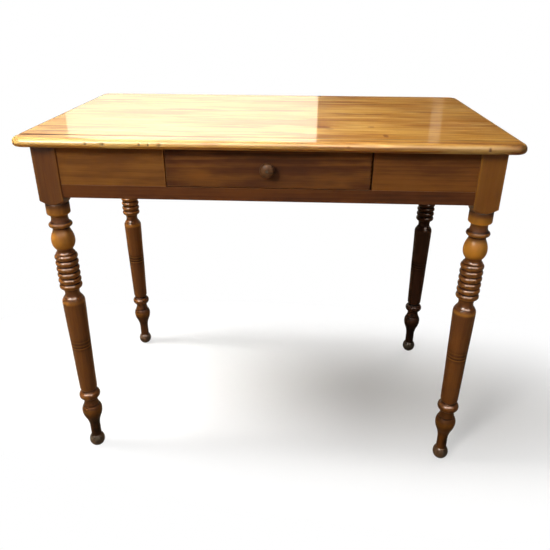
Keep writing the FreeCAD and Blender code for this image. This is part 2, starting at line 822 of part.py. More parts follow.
def make_drawer_sides():
    """The sides, dovetailed at both ends and grooved for the bottom."""
    for side_name, side in SIDES.items():
        body = drawer_body(f"drawer_side_{side_name}")
        box(body, ADD, "Side",
            (side * drawer_half, S.drawer_front_thickness, side_low),
            (side * inner_half, drawer_depth, front_high))
        tails(body, ADD, side, S.drawer_front_thickness, S.drawer_lap, front_low, front_high,
              FRONT_TAIL_COUNT)
        box(body, CUT, "BackNotch",
            (side * drawer_half, back_inside, back_low), (side * inner_half, drawer_depth, back_high))
        tails(body, ADD, side, back_inside, drawer_depth, back_low, back_high, BACK_TAIL_COUNT)
        box(body, CUT, "Groove",
            (side * inner_half, S.drawer_lap, bottom_low), (side * panel_half, drawer_depth, bottom_high))
        keep(body)


def nail_places():
    """Where the nails go, across the drawer."""
    return [(number - (NAIL_COUNT - 1) / 2) * S.nail_spacing for number in range(NAIL_COUNT)]


def make_drawer_back_and_bottom():
    """The back, which stands on the bottom, the bottom in its grooves and the nails between them."""
    nail_y = drawer_depth - S.drawer_back_thickness / 2
    hole_radius = S.nail_radius + S.screw_ease
    back = drawer_body("drawer_back")
    box(back, ADD, "Back", (-drawer_half, back_inside, back_low), (drawer_half, drawer_depth, back_high))
    for side in SIDES.values():
        tails(back, CUT, side, back_inside, drawer_depth, back_low, back_high, BACK_TAIL_COUNT)
    bottom = drawer_body("drawer_bottom")
    box(bottom, ADD, "Panel",
        (-panel_half, S.drawer_front_thickness - S.groove_depth, bottom_low),
        (panel_half, drawer_depth, bottom_high))
    nails = []
    for number, x in enumerate(nail_places()):
        for board in (back, bottom):
            rod(board, CUT, f"NailHole{number}", (x, nail_y, bottom_low), hole_radius, S.nail_length)
        nail = drawer_body(f"nail_{number}")
        rod(nail, ADD, "Shank", (x, nail_y, bottom_low), S.nail_radius, S.nail_length)
        rod(nail, ADD, "Head", (x, nail_y, bottom_low - S.nail_head_height), S.nail_head_radius,
            S.nail_head_height)
        nails.append(nail)
    keep(back)
    keep(bottom)
    keep(compound("drawer_bottom_nails", nails))


def make_knob():
    """The turned knob and the screw that goes through it into the drawer front."""
    stretches = [
        (S.knob_neck_height, S.knob_neck_radius, LEVEL_AT_END),
        (S.knob_flare_height, S.knob_flare_radius, LEVEL_AT_START),
        (S.knob_lower_height, S.knob_radius, LEVEL_AT_END),
        (S.knob_upper_height, S.knob_face_radius, LEVEL_AT_START),
        (S.knob_crown_height, S.knob_crown_radius, LINE),
    ]
    climbed = climb(as_size(0), stretches)
    height = climbed[-1][1]
    outline = [(0, 0, LINE), (S.knob_base_radius, 0, LINE), *climbed, (0, height, LINE)]
    knob = new_body("drawer_knob", drawer_x, -frieze_y, rail_top + front_middle, OUT_OF_FRONT)
    spin(knob, "Revolution", "Turning", [outline])
    rod(knob, CUT, "ScrewHole", (0, 0, 0), S.knob_screw_radius + S.screw_ease, height)
    sunk = S.knob_screw_sink + S.knob_screw_head_height
    rod(knob, CUT, "HeadSeat", (0, 0, height - sunk), S.knob_screw_head_radius + S.screw_ease, sunk)
    keep(knob)

    head_y = -frieze_y - height + S.knob_screw_sink
    screw = new_body("knob_screw", drawer_x, head_y, rail_top + front_middle, INTO_FRONT)
    rod(screw, ADD, "Head", (0, 0, 0), S.knob_screw_head_radius, S.knob_screw_head_height)
    rod(screw, ADD, "Shank", (0, 0, 0), S.knob_screw_radius, height - S.knob_screw_sink + S.knob_screw_grip)
    half = S.screw_slot_width / 2
    box(screw, CUT, "Slot", (-half, -S.knob_screw_head_radius, 0),
        (half, S.knob_screw_head_radius, S.screw_slot_depth))
    keep(screw)


def check():
    """Stop if any object failed or any piece has no sound solid."""
    doc.recompute()
    for thing in doc.Objects:
        if {"Invalid", "Error"} & set(thing.State):
            raise RuntimeError(f"{thing.Label} did not build: {thing.State}")
    for piece in kept:
        shape = piece.Shape
        if shape.isNull() or not shape.isValid() or not shape.Solids:
            raise RuntimeError(f"{piece.Label} has no sound solid")


def export():
    """Write one file for each piece."""
    os.makedirs("parts", exist_ok=True)
    for piece in kept:
        piece.Shape.exportStep(f"parts/{piece.Label}.step")
        print(piece.Label, len(piece.Shape.Solids), round(piece.Shape.Volume / 1000, 2), "cm3")


make_legs()
make_front_rail()
make_front_panels()
make_aprons()
make_bearings()
make_top(make_fixings())
make_drawer_front()
make_drawer_sides()
make_drawer_back_and_bottom()
make_knob()
check()
export()
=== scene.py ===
"""Looks, light and camera of an old table with a drawer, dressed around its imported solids.

Lengths are metres. The origin is on the floor under the middle of the top, +Z is up and the
front of the table, with the drawer, faces -Y.
"""

import logging
import math
from dataclasses import dataclass, field, replace
from enum import Enum
from typing import Optional, Sequence, Union

import bmesh
import bpy
import numpy as np
from mathutils import Matrix, Vector


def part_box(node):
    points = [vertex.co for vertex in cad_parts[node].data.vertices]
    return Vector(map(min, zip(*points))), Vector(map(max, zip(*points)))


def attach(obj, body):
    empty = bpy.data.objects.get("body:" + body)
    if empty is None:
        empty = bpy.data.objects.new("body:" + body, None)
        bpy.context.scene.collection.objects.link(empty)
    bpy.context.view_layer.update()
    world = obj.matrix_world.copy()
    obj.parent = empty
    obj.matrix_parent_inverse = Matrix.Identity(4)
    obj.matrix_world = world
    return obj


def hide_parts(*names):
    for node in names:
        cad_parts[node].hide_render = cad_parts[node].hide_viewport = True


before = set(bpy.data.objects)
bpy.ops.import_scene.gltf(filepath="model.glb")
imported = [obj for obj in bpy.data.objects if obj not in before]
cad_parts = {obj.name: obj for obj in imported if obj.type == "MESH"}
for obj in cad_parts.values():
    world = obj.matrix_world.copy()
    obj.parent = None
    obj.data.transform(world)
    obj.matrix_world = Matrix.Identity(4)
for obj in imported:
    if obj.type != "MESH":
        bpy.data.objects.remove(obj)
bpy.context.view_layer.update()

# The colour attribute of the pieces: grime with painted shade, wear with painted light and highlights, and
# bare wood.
WEAR = "wear"
LOG = logging.getLogger("table")

Pair = tuple[float, float]
Triple = tuple[float, float, float]
Colour = Triple
Value = Union[bpy.types.NodeSocket, float, Sequence[float]]

NOISE_MEAN = 0.5


class Body(Enum):
    """The two bodies of the frame that a piece can ride on."""

    FRAME = "frame"
    DRAWER = "drawer"


class Slot(Enum):
    """The material slots of the record."""

    TOP = "top_wood"
    LEG = "leg_wood"
    FRIEZE = "frieze_wood"
    KNOB = "knob_wood"
    INNER = "inner_wood"
    STEEL = "fastener_steel"


class Grain(Enum):
    """The axis that the fibres of a piece follow, and then the two axes across them."""

    ALONG_X = (0, 1, 2)
    ALONG_Y = (1, 2, 0)
    ALONG_Z = (2, 0, 1)


def screen(red: float, green: float, blue: float) -> Colour:
    """Turn a colour as a screen shows it into linear light.

    Args:
        red: Red, from 0 to 255.
        green: Green, from 0 to 255.
        blue: Blue, from 0 to 255.

    Returns:
        The same colour in linear light, from 0 to 1.
    """
    shares = (channel / 255 for channel in (red, green, blue))
    return tuple(s / 12.92 if s <= 0.04045 else ((s + 0.055) / 1.055) ** 2.4 for s in shares)


class Graph:
    """The nodes of one material, with short calls to wire them."""

    def __init__(self, name: str) -> None:
        """Start an empty material.

        Args:
            name: The name of the material.
        """
        self.material = bpy.data.materials.new(name)
        self.material.use_nodes = True
        self.tree = self.material.node_tree
        self.tree.nodes.clear()

    def feed(self, socket: bpy.types.NodeSocket, value: Value) -> None:
        """Link a socket to another one, or set it to a plain value.

        Args:
            socket: The input to fill.
            value: An output to link, a number, a vector or a colour.
        """
        if isinstance(value, bpy.types.NodeSocket):
            self.tree.links.new(value, socket)
        elif socket.type == "RGBA":
            socket.default_value = (*value[:3], 1.0)
        else:
            socket.default_value = value

    def node(self, kind: str, inputs: Optional[dict] = None, **settings) -> bpy.types.Node:
        """Add a node.

        Args:
            kind: Blender's name of the node type.
            inputs: Values by the name or number of the input.
            settings: Properties of the node.

        Returns:
            The node.
        """
        made = self.tree.nodes.new(kind)
        for name, value in settings.items():
            setattr(made, name, value)
        for name, value in (inputs or {}).items():
            self.feed(made.inputs[name], value)
        return made

    def calc(self, operation: str, *values: Value) -> bpy.types.NodeSocket:
        """One step of arithmetic on numbers."""
        return self.node("ShaderNodeMath", dict(enumerate(values)), operation=operation).outputs[0]

    def vector(self, operation: str, first: Value, second: Value) -> bpy.types.NodeSocket:
        """One step of arithmetic on places, axis by axis."""
        return self.node("ShaderNodeVectorMath", {0: first, 1: second}, operation=operation).outputs[0]

    def length(self, where: Value) -> bpy.types.NodeSocket:
        """How far a place lies from the origin."""
        return self.node("ShaderNodeVectorMath", {0: where}, operation="LENGTH").outputs["Value"]

    def place(self) -> bpy.types.NodeSocket:
        """The place of a point in its own piece."""
        return self.node("ShaderNodeTexCoord").outputs["Object"]

    def noise(self, where: Value, scales: Sequence[float], detail: float) -> bpy.types.NodeSocket:
        """Cloudy noise at a place.

        Args:
            where: The place.
            scales: Waves per metre along each axis.
            detail: How many finer layers the noise has.

        Returns:
            A number round the mean of the noise, 0.5.
        """
        inputs = {"Vector": self.vector("MULTIPLY", where, scales), "Scale": 1.0, "Detail": detail}
        return self.node("ShaderNodeTexNoise", inputs).outputs[0]

    def ease(self, value: Value, low: float, high: float, start: float = 0.0,
             end: float = 1.0) -> bpy.types.NodeSocket:
        """Rise smoothly from start to end while a value goes from low to high."""
        inputs = {"Value": value, "From Min": low, "From Max": high, "To Min": start, "To Max": end}
        return self.node("ShaderNodeMapRange", inputs, interpolation_type="SMOOTHSTEP").outputs[0]

    def mix(self, share: Value, first: Value, second: Value) -> bpy.types.NodeSocket:
        """Lay a share of the second colour over the first."""
        inputs = {0: share, 6: first, 7: second}
        return self.node("ShaderNodeMix", inputs, data_type="RGBA").outputs[2]

    def ramp(self, value: Value, colours: Sequence[Colour]) -> bpy.types.NodeSocket:
        """Run through evenly spaced colours while a value goes from 0 to 1.

        Args:
            value: The value.
            colours: Two colours or more.

        Returns:
            The colour at the value.
        """
        made = self.node("ShaderNodeValToRGB", {0: value})
        elements = made.color_ramp.elements
        while len(elements) < len(colours):
            elements.new(0.5)
        for number, colour in enumerate(colours):
            elements[number].position = number / (len(colours) - 1)
            elements[number].color = (*colour, 1.0)
        return made.outputs[0]

    def bump(self, height: Value, depth: float) -> bpy.types.NodeSocket:
        """A normal that follows a height from 0 to 1, which are a depth in metres apart."""
        return self.node("ShaderNodeBump", {"Height": height, "Distance": depth}).outputs[0]

    def finish(self, inputs: dict) -> bpy.types.Material:
        """Close the material with a principled surface.

        Args:
            inputs: Values by the name of the surface's input.

        Returns:
            The material.
        """
        surface = self.node("ShaderNodeBsdfPrincipled", inputs)
        self.node("ShaderNodeOutputMaterial", {"Surface": surface.outputs[0]})
        return self.material

    def blend(self, share: Value, first: bpy.types.Node, second: bpy.types.Node) -> bpy.types.Material:
        """Close the material with a share of a second surface in the place of the first.

        Args:
            share: How much of the second surface shows, from 0 to 1.
            first: The node of the first surface.
            second: The node of the second.

        Returns:
            The material.
        """
        inputs = {0: share, 1: first.outputs[0], 2: second.outputs[0]}
        mixed = self.node("ShaderNodeMixShader", inputs)
        self.node("ShaderNodeOutputMaterial", {"Surface": mixed.outputs[0]})
        return self.material


@dataclass(frozen=True)
class Spot:
    """A knot or a stain in a board, in the frame's own places along and across the grain."""

    along: float
    across: float
    length: float
    width: float
    darkness: float


@dataclass(frozen=True)
class Wood:
    """Sawn wood with growth rings, streaks, fibres and pores, under polish or bare."""

    name: str
    pale: Colour
    middle: Colour
    dark: Colour
    # The next two colours serve grime together with painted shade, and wear together with painted
    # highlights and painted light.
    dirt_and_shade: Colour
    rubbed_and_lit: Colour
    bare: Colour = screen(102, 98, 84)
    seed_shift: Triple = (0.73, 0.31, 0.47)
    ring_pitch: float = 0.0055
    ring_sway: float = 0.016
    ring_sway_scale: Triple = (2.2, 7.0, 7.0)
    ring_rise: Pair = (0.05, 0.80)
    ring_fall: Pair = (0.84, 1.00)
    ring_mean: float = 0.4
    ring_share: float = 0.30
    ring_relief: float = -0.4
    streak_scale: Triple = (3.5, 85.0, 85.0)
    streak_share: float = 0.40
    cloud_scale: Triple = (3.0, 12.0, 12.0)
    cloud_share: float = 0.30
    contrast: float = 0.30
    spot_scale: Triple = (60.0, 260.0, 260.0)
    spot_ragged: float = 0.9
    spot_rim: Pair = (0.55, 1.45)
    fibre_scale: Triple = (22.0, 1100.0, 1100.0)
    fibre_share: float = 0.25
    fibre_depth: float = 0.00012
    pore_scale: Triple = (45.0, 1700.0, 1700.0)
    pore_rim: Pair = (0.60, 0.74)
    pore_share: float = 0.35
    pore_relief: float = -0.8
    fleck_scale: Triple = (8.0, 80.0, 80.0)
    fleck_rim: Pair = (0.51, 0.65)
    fleck_share: float = 0.0
    dark_fleck_rim: Pair = (0.32, 0.45)
    dark_fleck_share: float = 0.0
    wear_scale: Triple = (25.0, 90.0, 90.0)
    wear_rim: Pair = (0.30, 0.62)
    least_wear: float = 0.45
    roughness: float = 0.42
    roughness_rim: Pair = (0.25, 0.75)
    roughness_spread: Pair = (-0.06, 0.08)
    glint: float = 0.5
    polish: float = 0.0
    polish_rubbed: float = 0.0
    polish_roughness: float = 0.12
    polish_ripple: float = 0.00003
    ripple_scale: Triple = (9.0, 30.0, 30.0)
    # Polish fades under grime and under painted shade.
    dull_dirt_and_shade: float = 0.8

    def rings(self, graph: Graph, where: Value, drift: Value,
              heart: Sequence[float]) -> bpy.types.NodeSocket:
        """Growth rings about the heart of the tree, which lies along the grain.

        Args:
            graph: The material.
            where: The place, along the grain and across it.
            drift: The same place moved to the piece's own part of the noise.
            heart: Where the heart lies across the grain.

        Returns:
            0 in early wood and 1 in the dark late wood.
        """
        distance = graph.length(self.across(graph, where, heart))
        sway = graph.noise(drift, self.ring_sway_scale, detail=3.0)
        moved = graph.calc("MULTIPLY_ADD", sway, self.ring_sway, distance)
        saw = graph.calc("FRACT", graph.calc("DIVIDE", moved, self.ring_pitch))
        rise = graph.ease(saw, *self.ring_rise)
        fall = graph.ease(saw, *self.ring_fall, 1.0, 0.0)
        return graph.calc("MULTIPLY", rise, fall)

    @staticmethod
    def across(graph: Graph, where: Value, heart: Sequence[float]) -> bpy.types.NodeSocket:
        """The way from the heart of the tree to a place, without the part along the grain."""
        flat = graph.vector("MULTIPLY", where, (0.0, 1.0, 1.0))
        return graph.vector("SUBTRACT", flat, (0.0, *heart))

    def spot(self, graph: Graph, where: Value, drift: Value, spot: Spot) -> bpy.types.NodeSocket:
        """How much darker one knot or stain makes a place, with a ragged rim.

        Args:
            graph: The material.
            where: The place, along the grain and across it.
            drift: The same place moved to the piece's own part of the noise.
            spot: The knot or stain.

        Returns:
            Its darkness inside, and 0 outside.
        """
        apart = graph.vector("SUBTRACT", where, (spot.along, spot.across, 0.0))
        distance = graph.length(graph.vector("MULTIPLY", apart, (1 / spot.length, 1 / spot.width, 0.0)))
        rough = graph.noise(drift, self.spot_scale, detail=3.0)
        ragged = graph.calc("MULTIPLY_ADD", rough, self.spot_ragged, distance)
        return graph.ease(ragged, *self.spot_rim, spot.darkness, 0.0)

    def material(self, piece: str, grain: Grain, seed: int, heart: Sequence[float],
                 spots: Sequence[Spot] = ()) -> bpy.types.Material:
        """Make the finish for one piece.

        Args:
            piece: The name of the piece.
            grain: The way that its fibres run.
            seed: A number that gives the piece its own figure.
            heart: Where the heart of the tree lies across the grain.
            spots: Knots and stains.

        Returns:
            The material.
        """
        graph = Graph(f"{self.name}_{piece}")
        axes = graph.node("ShaderNodeSeparateXYZ", {0: graph.place()}).outputs
        along, *across = (axes[number] for number in grain.value)
        where = graph.node("ShaderNodeCombineXYZ", {0: along, 1: across[0], 2: across[1]}).outputs[0]
        drift = graph.vector("ADD", where, tuple(step * seed for step in self.seed_shift))

        rings = self.rings(graph, where, drift, heart)
        streaks = graph.noise(drift, self.streak_scale, detail=5.0)
        clouds = graph.noise(drift, self.cloud_scale, detail=3.0)
        fibres = graph.noise(drift, self.fibre_scale, detail=2.0)
        pores = graph.ease(graph.noise(drift, self.pore_scale, detail=1.0), *self.pore_rim)

        tone = graph.calc("MULTIPLY", rings, self.ring_share)
        tone = graph.calc("MULTIPLY_ADD", streaks, self.streak_share, tone)
        tone = graph.calc("MULTIPLY_ADD", clouds, self.cloud_share, tone)
        spread = graph.calc("SUBTRACT", fibres, NOISE_MEAN)
        tone = graph.calc("MULTIPLY_ADD", spread, self.fibre_share, tone)
        for spot in spots:
            tone = graph.calc("ADD", tone, self.spot(graph, where, drift, spot))
        middle_tone = NOISE_MEAN * (self.streak_share + self.cloud_share)
        middle_tone += self.ring_mean * self.ring_share
        tone = graph.ease(tone, middle_tone - self.contrast, middle_tone + self.contrast)
        colour = graph.ramp(tone, (self.pale, self.middle, self.dark))
        flecks = graph.noise(drift, self.fleck_scale, detail=2.5)
        pale_flecks = graph.ease(flecks, *self.fleck_rim, 0.0, self.fleck_share)
        dark_flecks = graph.ease(flecks, *self.dark_fleck_rim, self.dark_fleck_share, 0.0)
        colour = graph.mix(pale_flecks, colour, self.rubbed_and_lit)
        colour = graph.mix(dark_flecks, colour, self.dark)
        colour = graph.mix(graph.calc("MULTIPLY", pores, self.pore_share), colour, self.dark)

        # The wear colour: grime with painted shade, wear with painted light and highlights, then bare
        # wood.
        wear = graph.node("ShaderNodeAttribute", attribute_name=WEAR).outputs["Color"]
        dirt_and_shade, rub_and_light, bare = graph.node("ShaderNodeSeparateColor", {0: wear}).outputs
        uneven = graph.noise(drift, self.wear_scale, detail=3.0)
        uneven = graph.ease(uneven, *self.wear_rim, self.least_wear, 1.0)
        dirt_and_shade = graph.calc("MULTIPLY", dirt_and_shade, uneven)
        colour = graph.mix(graph.calc("MULTIPLY", rub_and_light, uneven), colour, self.rubbed_and_lit)
        colour = graph.mix(graph.calc("MULTIPLY", bare, uneven), colour, self.bare)
        colour = graph.mix(dirt_and_shade, colour, self.dirt_and_shade)

        relief = graph.calc("MULTIPLY_ADD", rings, self.ring_relief, fibres)
        relief = graph.calc("MULTIPLY_ADD", pores, self.pore_relief, relief)
        normal = graph.bump(relief, self.fibre_depth)
        ripple = graph.bump(graph.noise(drift, self.ripple_scale, detail=2.0), self.polish_ripple)
        smoothest, roughest = (self.roughness + step for step in self.roughness_spread)
        rough = graph.ease(clouds, *self.roughness_rim, smoothest, roughest)
        # Polish fades under grime and painted shade, and comes off where wear and painted light lighten
        # the wood.
        polish = self.polish
        if polish:
            polish = graph.ease(dirt_and_shade, 0.0, self.dull_dirt_and_shade, self.polish, 0.0)
            polish = graph.calc("MULTIPLY_ADD", rub_and_light, -self.polish_rubbed, polish)
            polish = graph.calc("MAXIMUM", polish, 0.0)
        return graph.finish({
            "Base Color": colour, "Roughness": rough, "Normal": normal, "Specular IOR Level": self.glint,
            "Coat Weight": polish, "Coat Roughness": self.polish_roughness, "Coat Normal": ripple,
        })


@dataclass(frozen=True)
class Steel:
    """Old bright steel with brown specks of rust."""

    name: str = "aged_steel"
    bright: Colour = screen(150, 142, 130)
    dull: Colour = screen(92, 82, 70)
    rust: Colour = screen(88, 52, 28)
    cloud_scale: Triple = (220.0, 220.0, 220.0)
    speck_scale: Triple = (900.0, 900.0, 900.0)
    speck_rim: Pair = (0.56, 0.68)
    roughness: float = 0.38
    rust_roughness: float = 0.4
    dent_depth: float = 0.00008

    def material(self) -> bpy.types.Material:
        """Make the finish.

        Returns:
            The material.
        """
        graph = Graph(self.name)
        where = graph.place()
        cloud = graph.noise(where, self.cloud_scale, detail=3.0)
        speck = graph.ease(graph.noise(where, self.speck_scale, detail=4.0), *self.speck_rim)
        colour = graph.mix(speck, graph.ramp(cloud, (self.dull, self.bright)), self.rust)
        return graph.finish({
            "Base Color": colour,
            "Metallic": graph.calc("SUBTRACT", 1.0, speck),
            "Roughness": graph.calc("MULTIPLY_ADD", speck, self.rust_roughness, self.roughness),
            "Normal": graph.bump(cloud, self.dent_depth),
        })


TOP_WOOD = Wood(
    name="shellacked_top", pale=screen(242, 184, 88), middle=screen(212, 147, 54),
    dark=screen(154, 84, 24), dirt_and_shade=screen(66, 28, 9), rubbed_and_lit=screen(250, 204, 116), ring_share=0.14,
    streak_scale=(7.0, 44.0, 44.0), streak_share=0.28, cloud_share=0.50, contrast=0.17,
    wear_scale=(10.0, 22.0, 22.0), fleck_share=0.60, dark_fleck_share=0.38, roughness=0.36, glint=0.3,
    polish=1.0, polish_rubbed=0.3, polish_roughness=0.045)
FRIEZE_WOOD = Wood(
    name="polished_frieze", pale=screen(144, 90, 37), middle=screen(128, 78, 32),
    dark=screen(104, 60, 24), dirt_and_shade=screen(20, 11, 6), rubbed_and_lit=screen(156, 100, 42), ring_share=0.07,
    streak_scale=(3.0, 60.0, 60.0), streak_share=0.30, cloud_scale=(8.0, 24.0, 24.0), cloud_share=0.70,
    contrast=0.17, glint=0.15, polish=0.12, polish_roughness=0.25)
DRAWER_WOOD = replace(
    FRIEZE_WOOD, name="polished_drawer", pale=screen(138, 86, 36), middle=screen(108, 64, 29),
    dark=screen(80, 43, 20), ring_share=0.12)
# Lighter than the other frieze boards: its own tone in part, and painted light from the left in part.
PANEL_WOOD = replace(
    FRIEZE_WOOD, name="polished_panel", pale=screen(156, 101, 41), middle=screen(141, 90, 36),
    dark=screen(118, 71, 28))
RAIL_WOOD = replace(
    FRIEZE_WOOD, name="polished_rail", pale=screen(116, 67, 31), middle=screen(102, 57, 26),
    dark=screen(80, 43, 19), rubbed_and_lit=screen(134, 82, 38))
LEG_WOOD = Wood(
    name="polished_leg", pale=screen(156, 94, 31), middle=screen(122, 69, 21), dark=screen(80, 41, 12),
    dirt_and_shade=screen(18, 8, 3), rubbed_and_lit=screen(228, 152, 48), ring_share=0.04, streak_scale=(3.0, 45.0, 45.0),
    streak_share=0.10, cloud_share=0.60, contrast=0.32, wear_scale=(14.0, 28.0, 28.0), glint=0.25,
    polish=1.0, polish_rubbed=1.1, polish_roughness=0.10)
# A darker copy of the leg wood for the back right leg: painted shade.
PAINTED_SHADE_LEG_WOOD = replace(
    LEG_WOOD, name="painted_shade_leg", pale=screen(90, 50, 24), middle=screen(68, 36, 18),
    dark=screen(44, 22, 11), rubbed_and_lit=screen(104, 64, 30), glint=0.15, polish=0.35, polish_rubbed=0.3)
KNOB_WOOD = Wood(
    name="polished_knob", pale=screen(110, 70, 38), middle=screen(86, 52, 27), dark=screen(54, 31, 17),
    dirt_and_shade=screen(18, 10, 6), rubbed_and_lit=screen(128, 90, 56), glint=0.2, polish=0.06, polish_roughness=0.3)
INNER_WOOD = Wood(
    name="bare_wood", pale=screen(206, 168, 118), middle=screen(178, 136, 88), dark=screen(124, 84, 48),
    dirt_and_shade=screen(60, 40, 24), rubbed_and_lit=screen(214, 180, 130), contrast=0.30, roughness=0.68, glint=0.3)


def add_piece(name: str, mesh: bpy.types.Mesh) -> bpy.types.Object:
    """Put a mesh in the scene.

    Args:
        name: The name of the new object.
        mesh: Its mesh.

    Returns:
        The object.
    """
    made = bpy.data.objects.new(name, mesh)
    bpy.context.scene.collection.objects.link(made)
    return made


def dress(piece: bpy.types.Object, material: bpy.types.Material) -> None:
    """Give a piece its one material.

    Args:
        piece: The piece.
        material: Its finish.
    """
    piece.data.materials.clear()
    piece.data.materials.append(material)


def stand_for(piece: bpy.types.Object, node: str, body: Body) -> None:
    """Let a piece ride on a body in the place of a solid of the frame.

    Args:
        piece: The piece.
        node: The solid that it stands for.
        body: The body that it rides on.
    """
    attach(piece, body.value)
    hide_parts(node)
    LOG.info("%s stands for %s with %d faces", piece.name, node, len(piece.data.polygons))


def paint_wear(mesh: bpy.types.Mesh, wear: np.ndarray) -> None:
    """Keep the wear, painted shade and painted light of a mesh as a colour at each point.

    Args:
        mesh: The mesh.
        wear: Grime and painted shade, rubbing and painted light, and bare wood at each point, from 0 to 1,
            or the first of them.
    """
    colours = np.zeros((len(wear), 4), np.float32)
    colours[:, :wear.shape[1]] = np.clip(wear, 0.0, 1.0)
    colours[:, 3] = 1.0
    layer = mesh.color_attributes.new(WEAR, "FLOAT_COLOR", "POINT")
    layer.data.foreach_set("color", colours.ravel())


def flat_sheet(name: str, width: float, height: float) -> bpy.types.Mesh:
    """Make a level rectangle about its middle.

    Args:
        name: The name of the mesh.
        width: Its length along X.
        height: Its length along Y.

    Returns:
        The mesh.
    """
    mesh = bpy.data.meshes.new(name)
    x, y = width / 2, height / 2
    mesh.from_pydata([(-x, -y, 0), (x, -y, 0), (x, y, 0), (-x, y, 0)], [], [(0, 1, 2, 3)])
    return mesh


def worn_mesh(name: str, points: np.ndarray, faces: Sequence[Sequence[int]], wear: np.ndarray,
              crease: float) -> bpy.types.Mesh:
    """Make a smooth mesh with its wear, painted shade and painted light at each point.

    Args:
        name: The name of the mesh.
        points: Places, one row each.
        faces: The corners of each face.
        wear: Grime and painted shade, rubbing and painted light, and bare wood at each point, from 0 to 1.
        crease: The angle in degrees past which an edge stays sharp.

    Returns:
        The mesh.
    """
    mesh = bpy.data.meshes.new(name)
    mesh.from_pydata(points.tolist(), [], [tuple(face) for face in faces])
    mesh.update()
    mesh.shade_smooth()
    mesh.set_sharp_from_angle(angle=math.radians(crease))
    paint_wear(mesh, wear)
    return mesh


def heart_of(node: str, grain: Grain, away: Sequence[float]) -> Pair:
    """A place for the heart of the tree that a piece was cut from.

    Args:
        node: The solid of the piece.
        grain: The way that its fibres run.
        away: How far the heart lies from the middle of the solid, across the grain.

    Returns:
        The place, across the grain.
    """
    low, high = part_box(node)
    middle = (low + high) / 2
    return tuple(middle[axis] + step for axis, step in zip(grain.value[1:], away))


@dataclass(frozen=True)
class Nick:
    """A dent in the front edge of the top."""

    along: float
    length: float
    depth: float


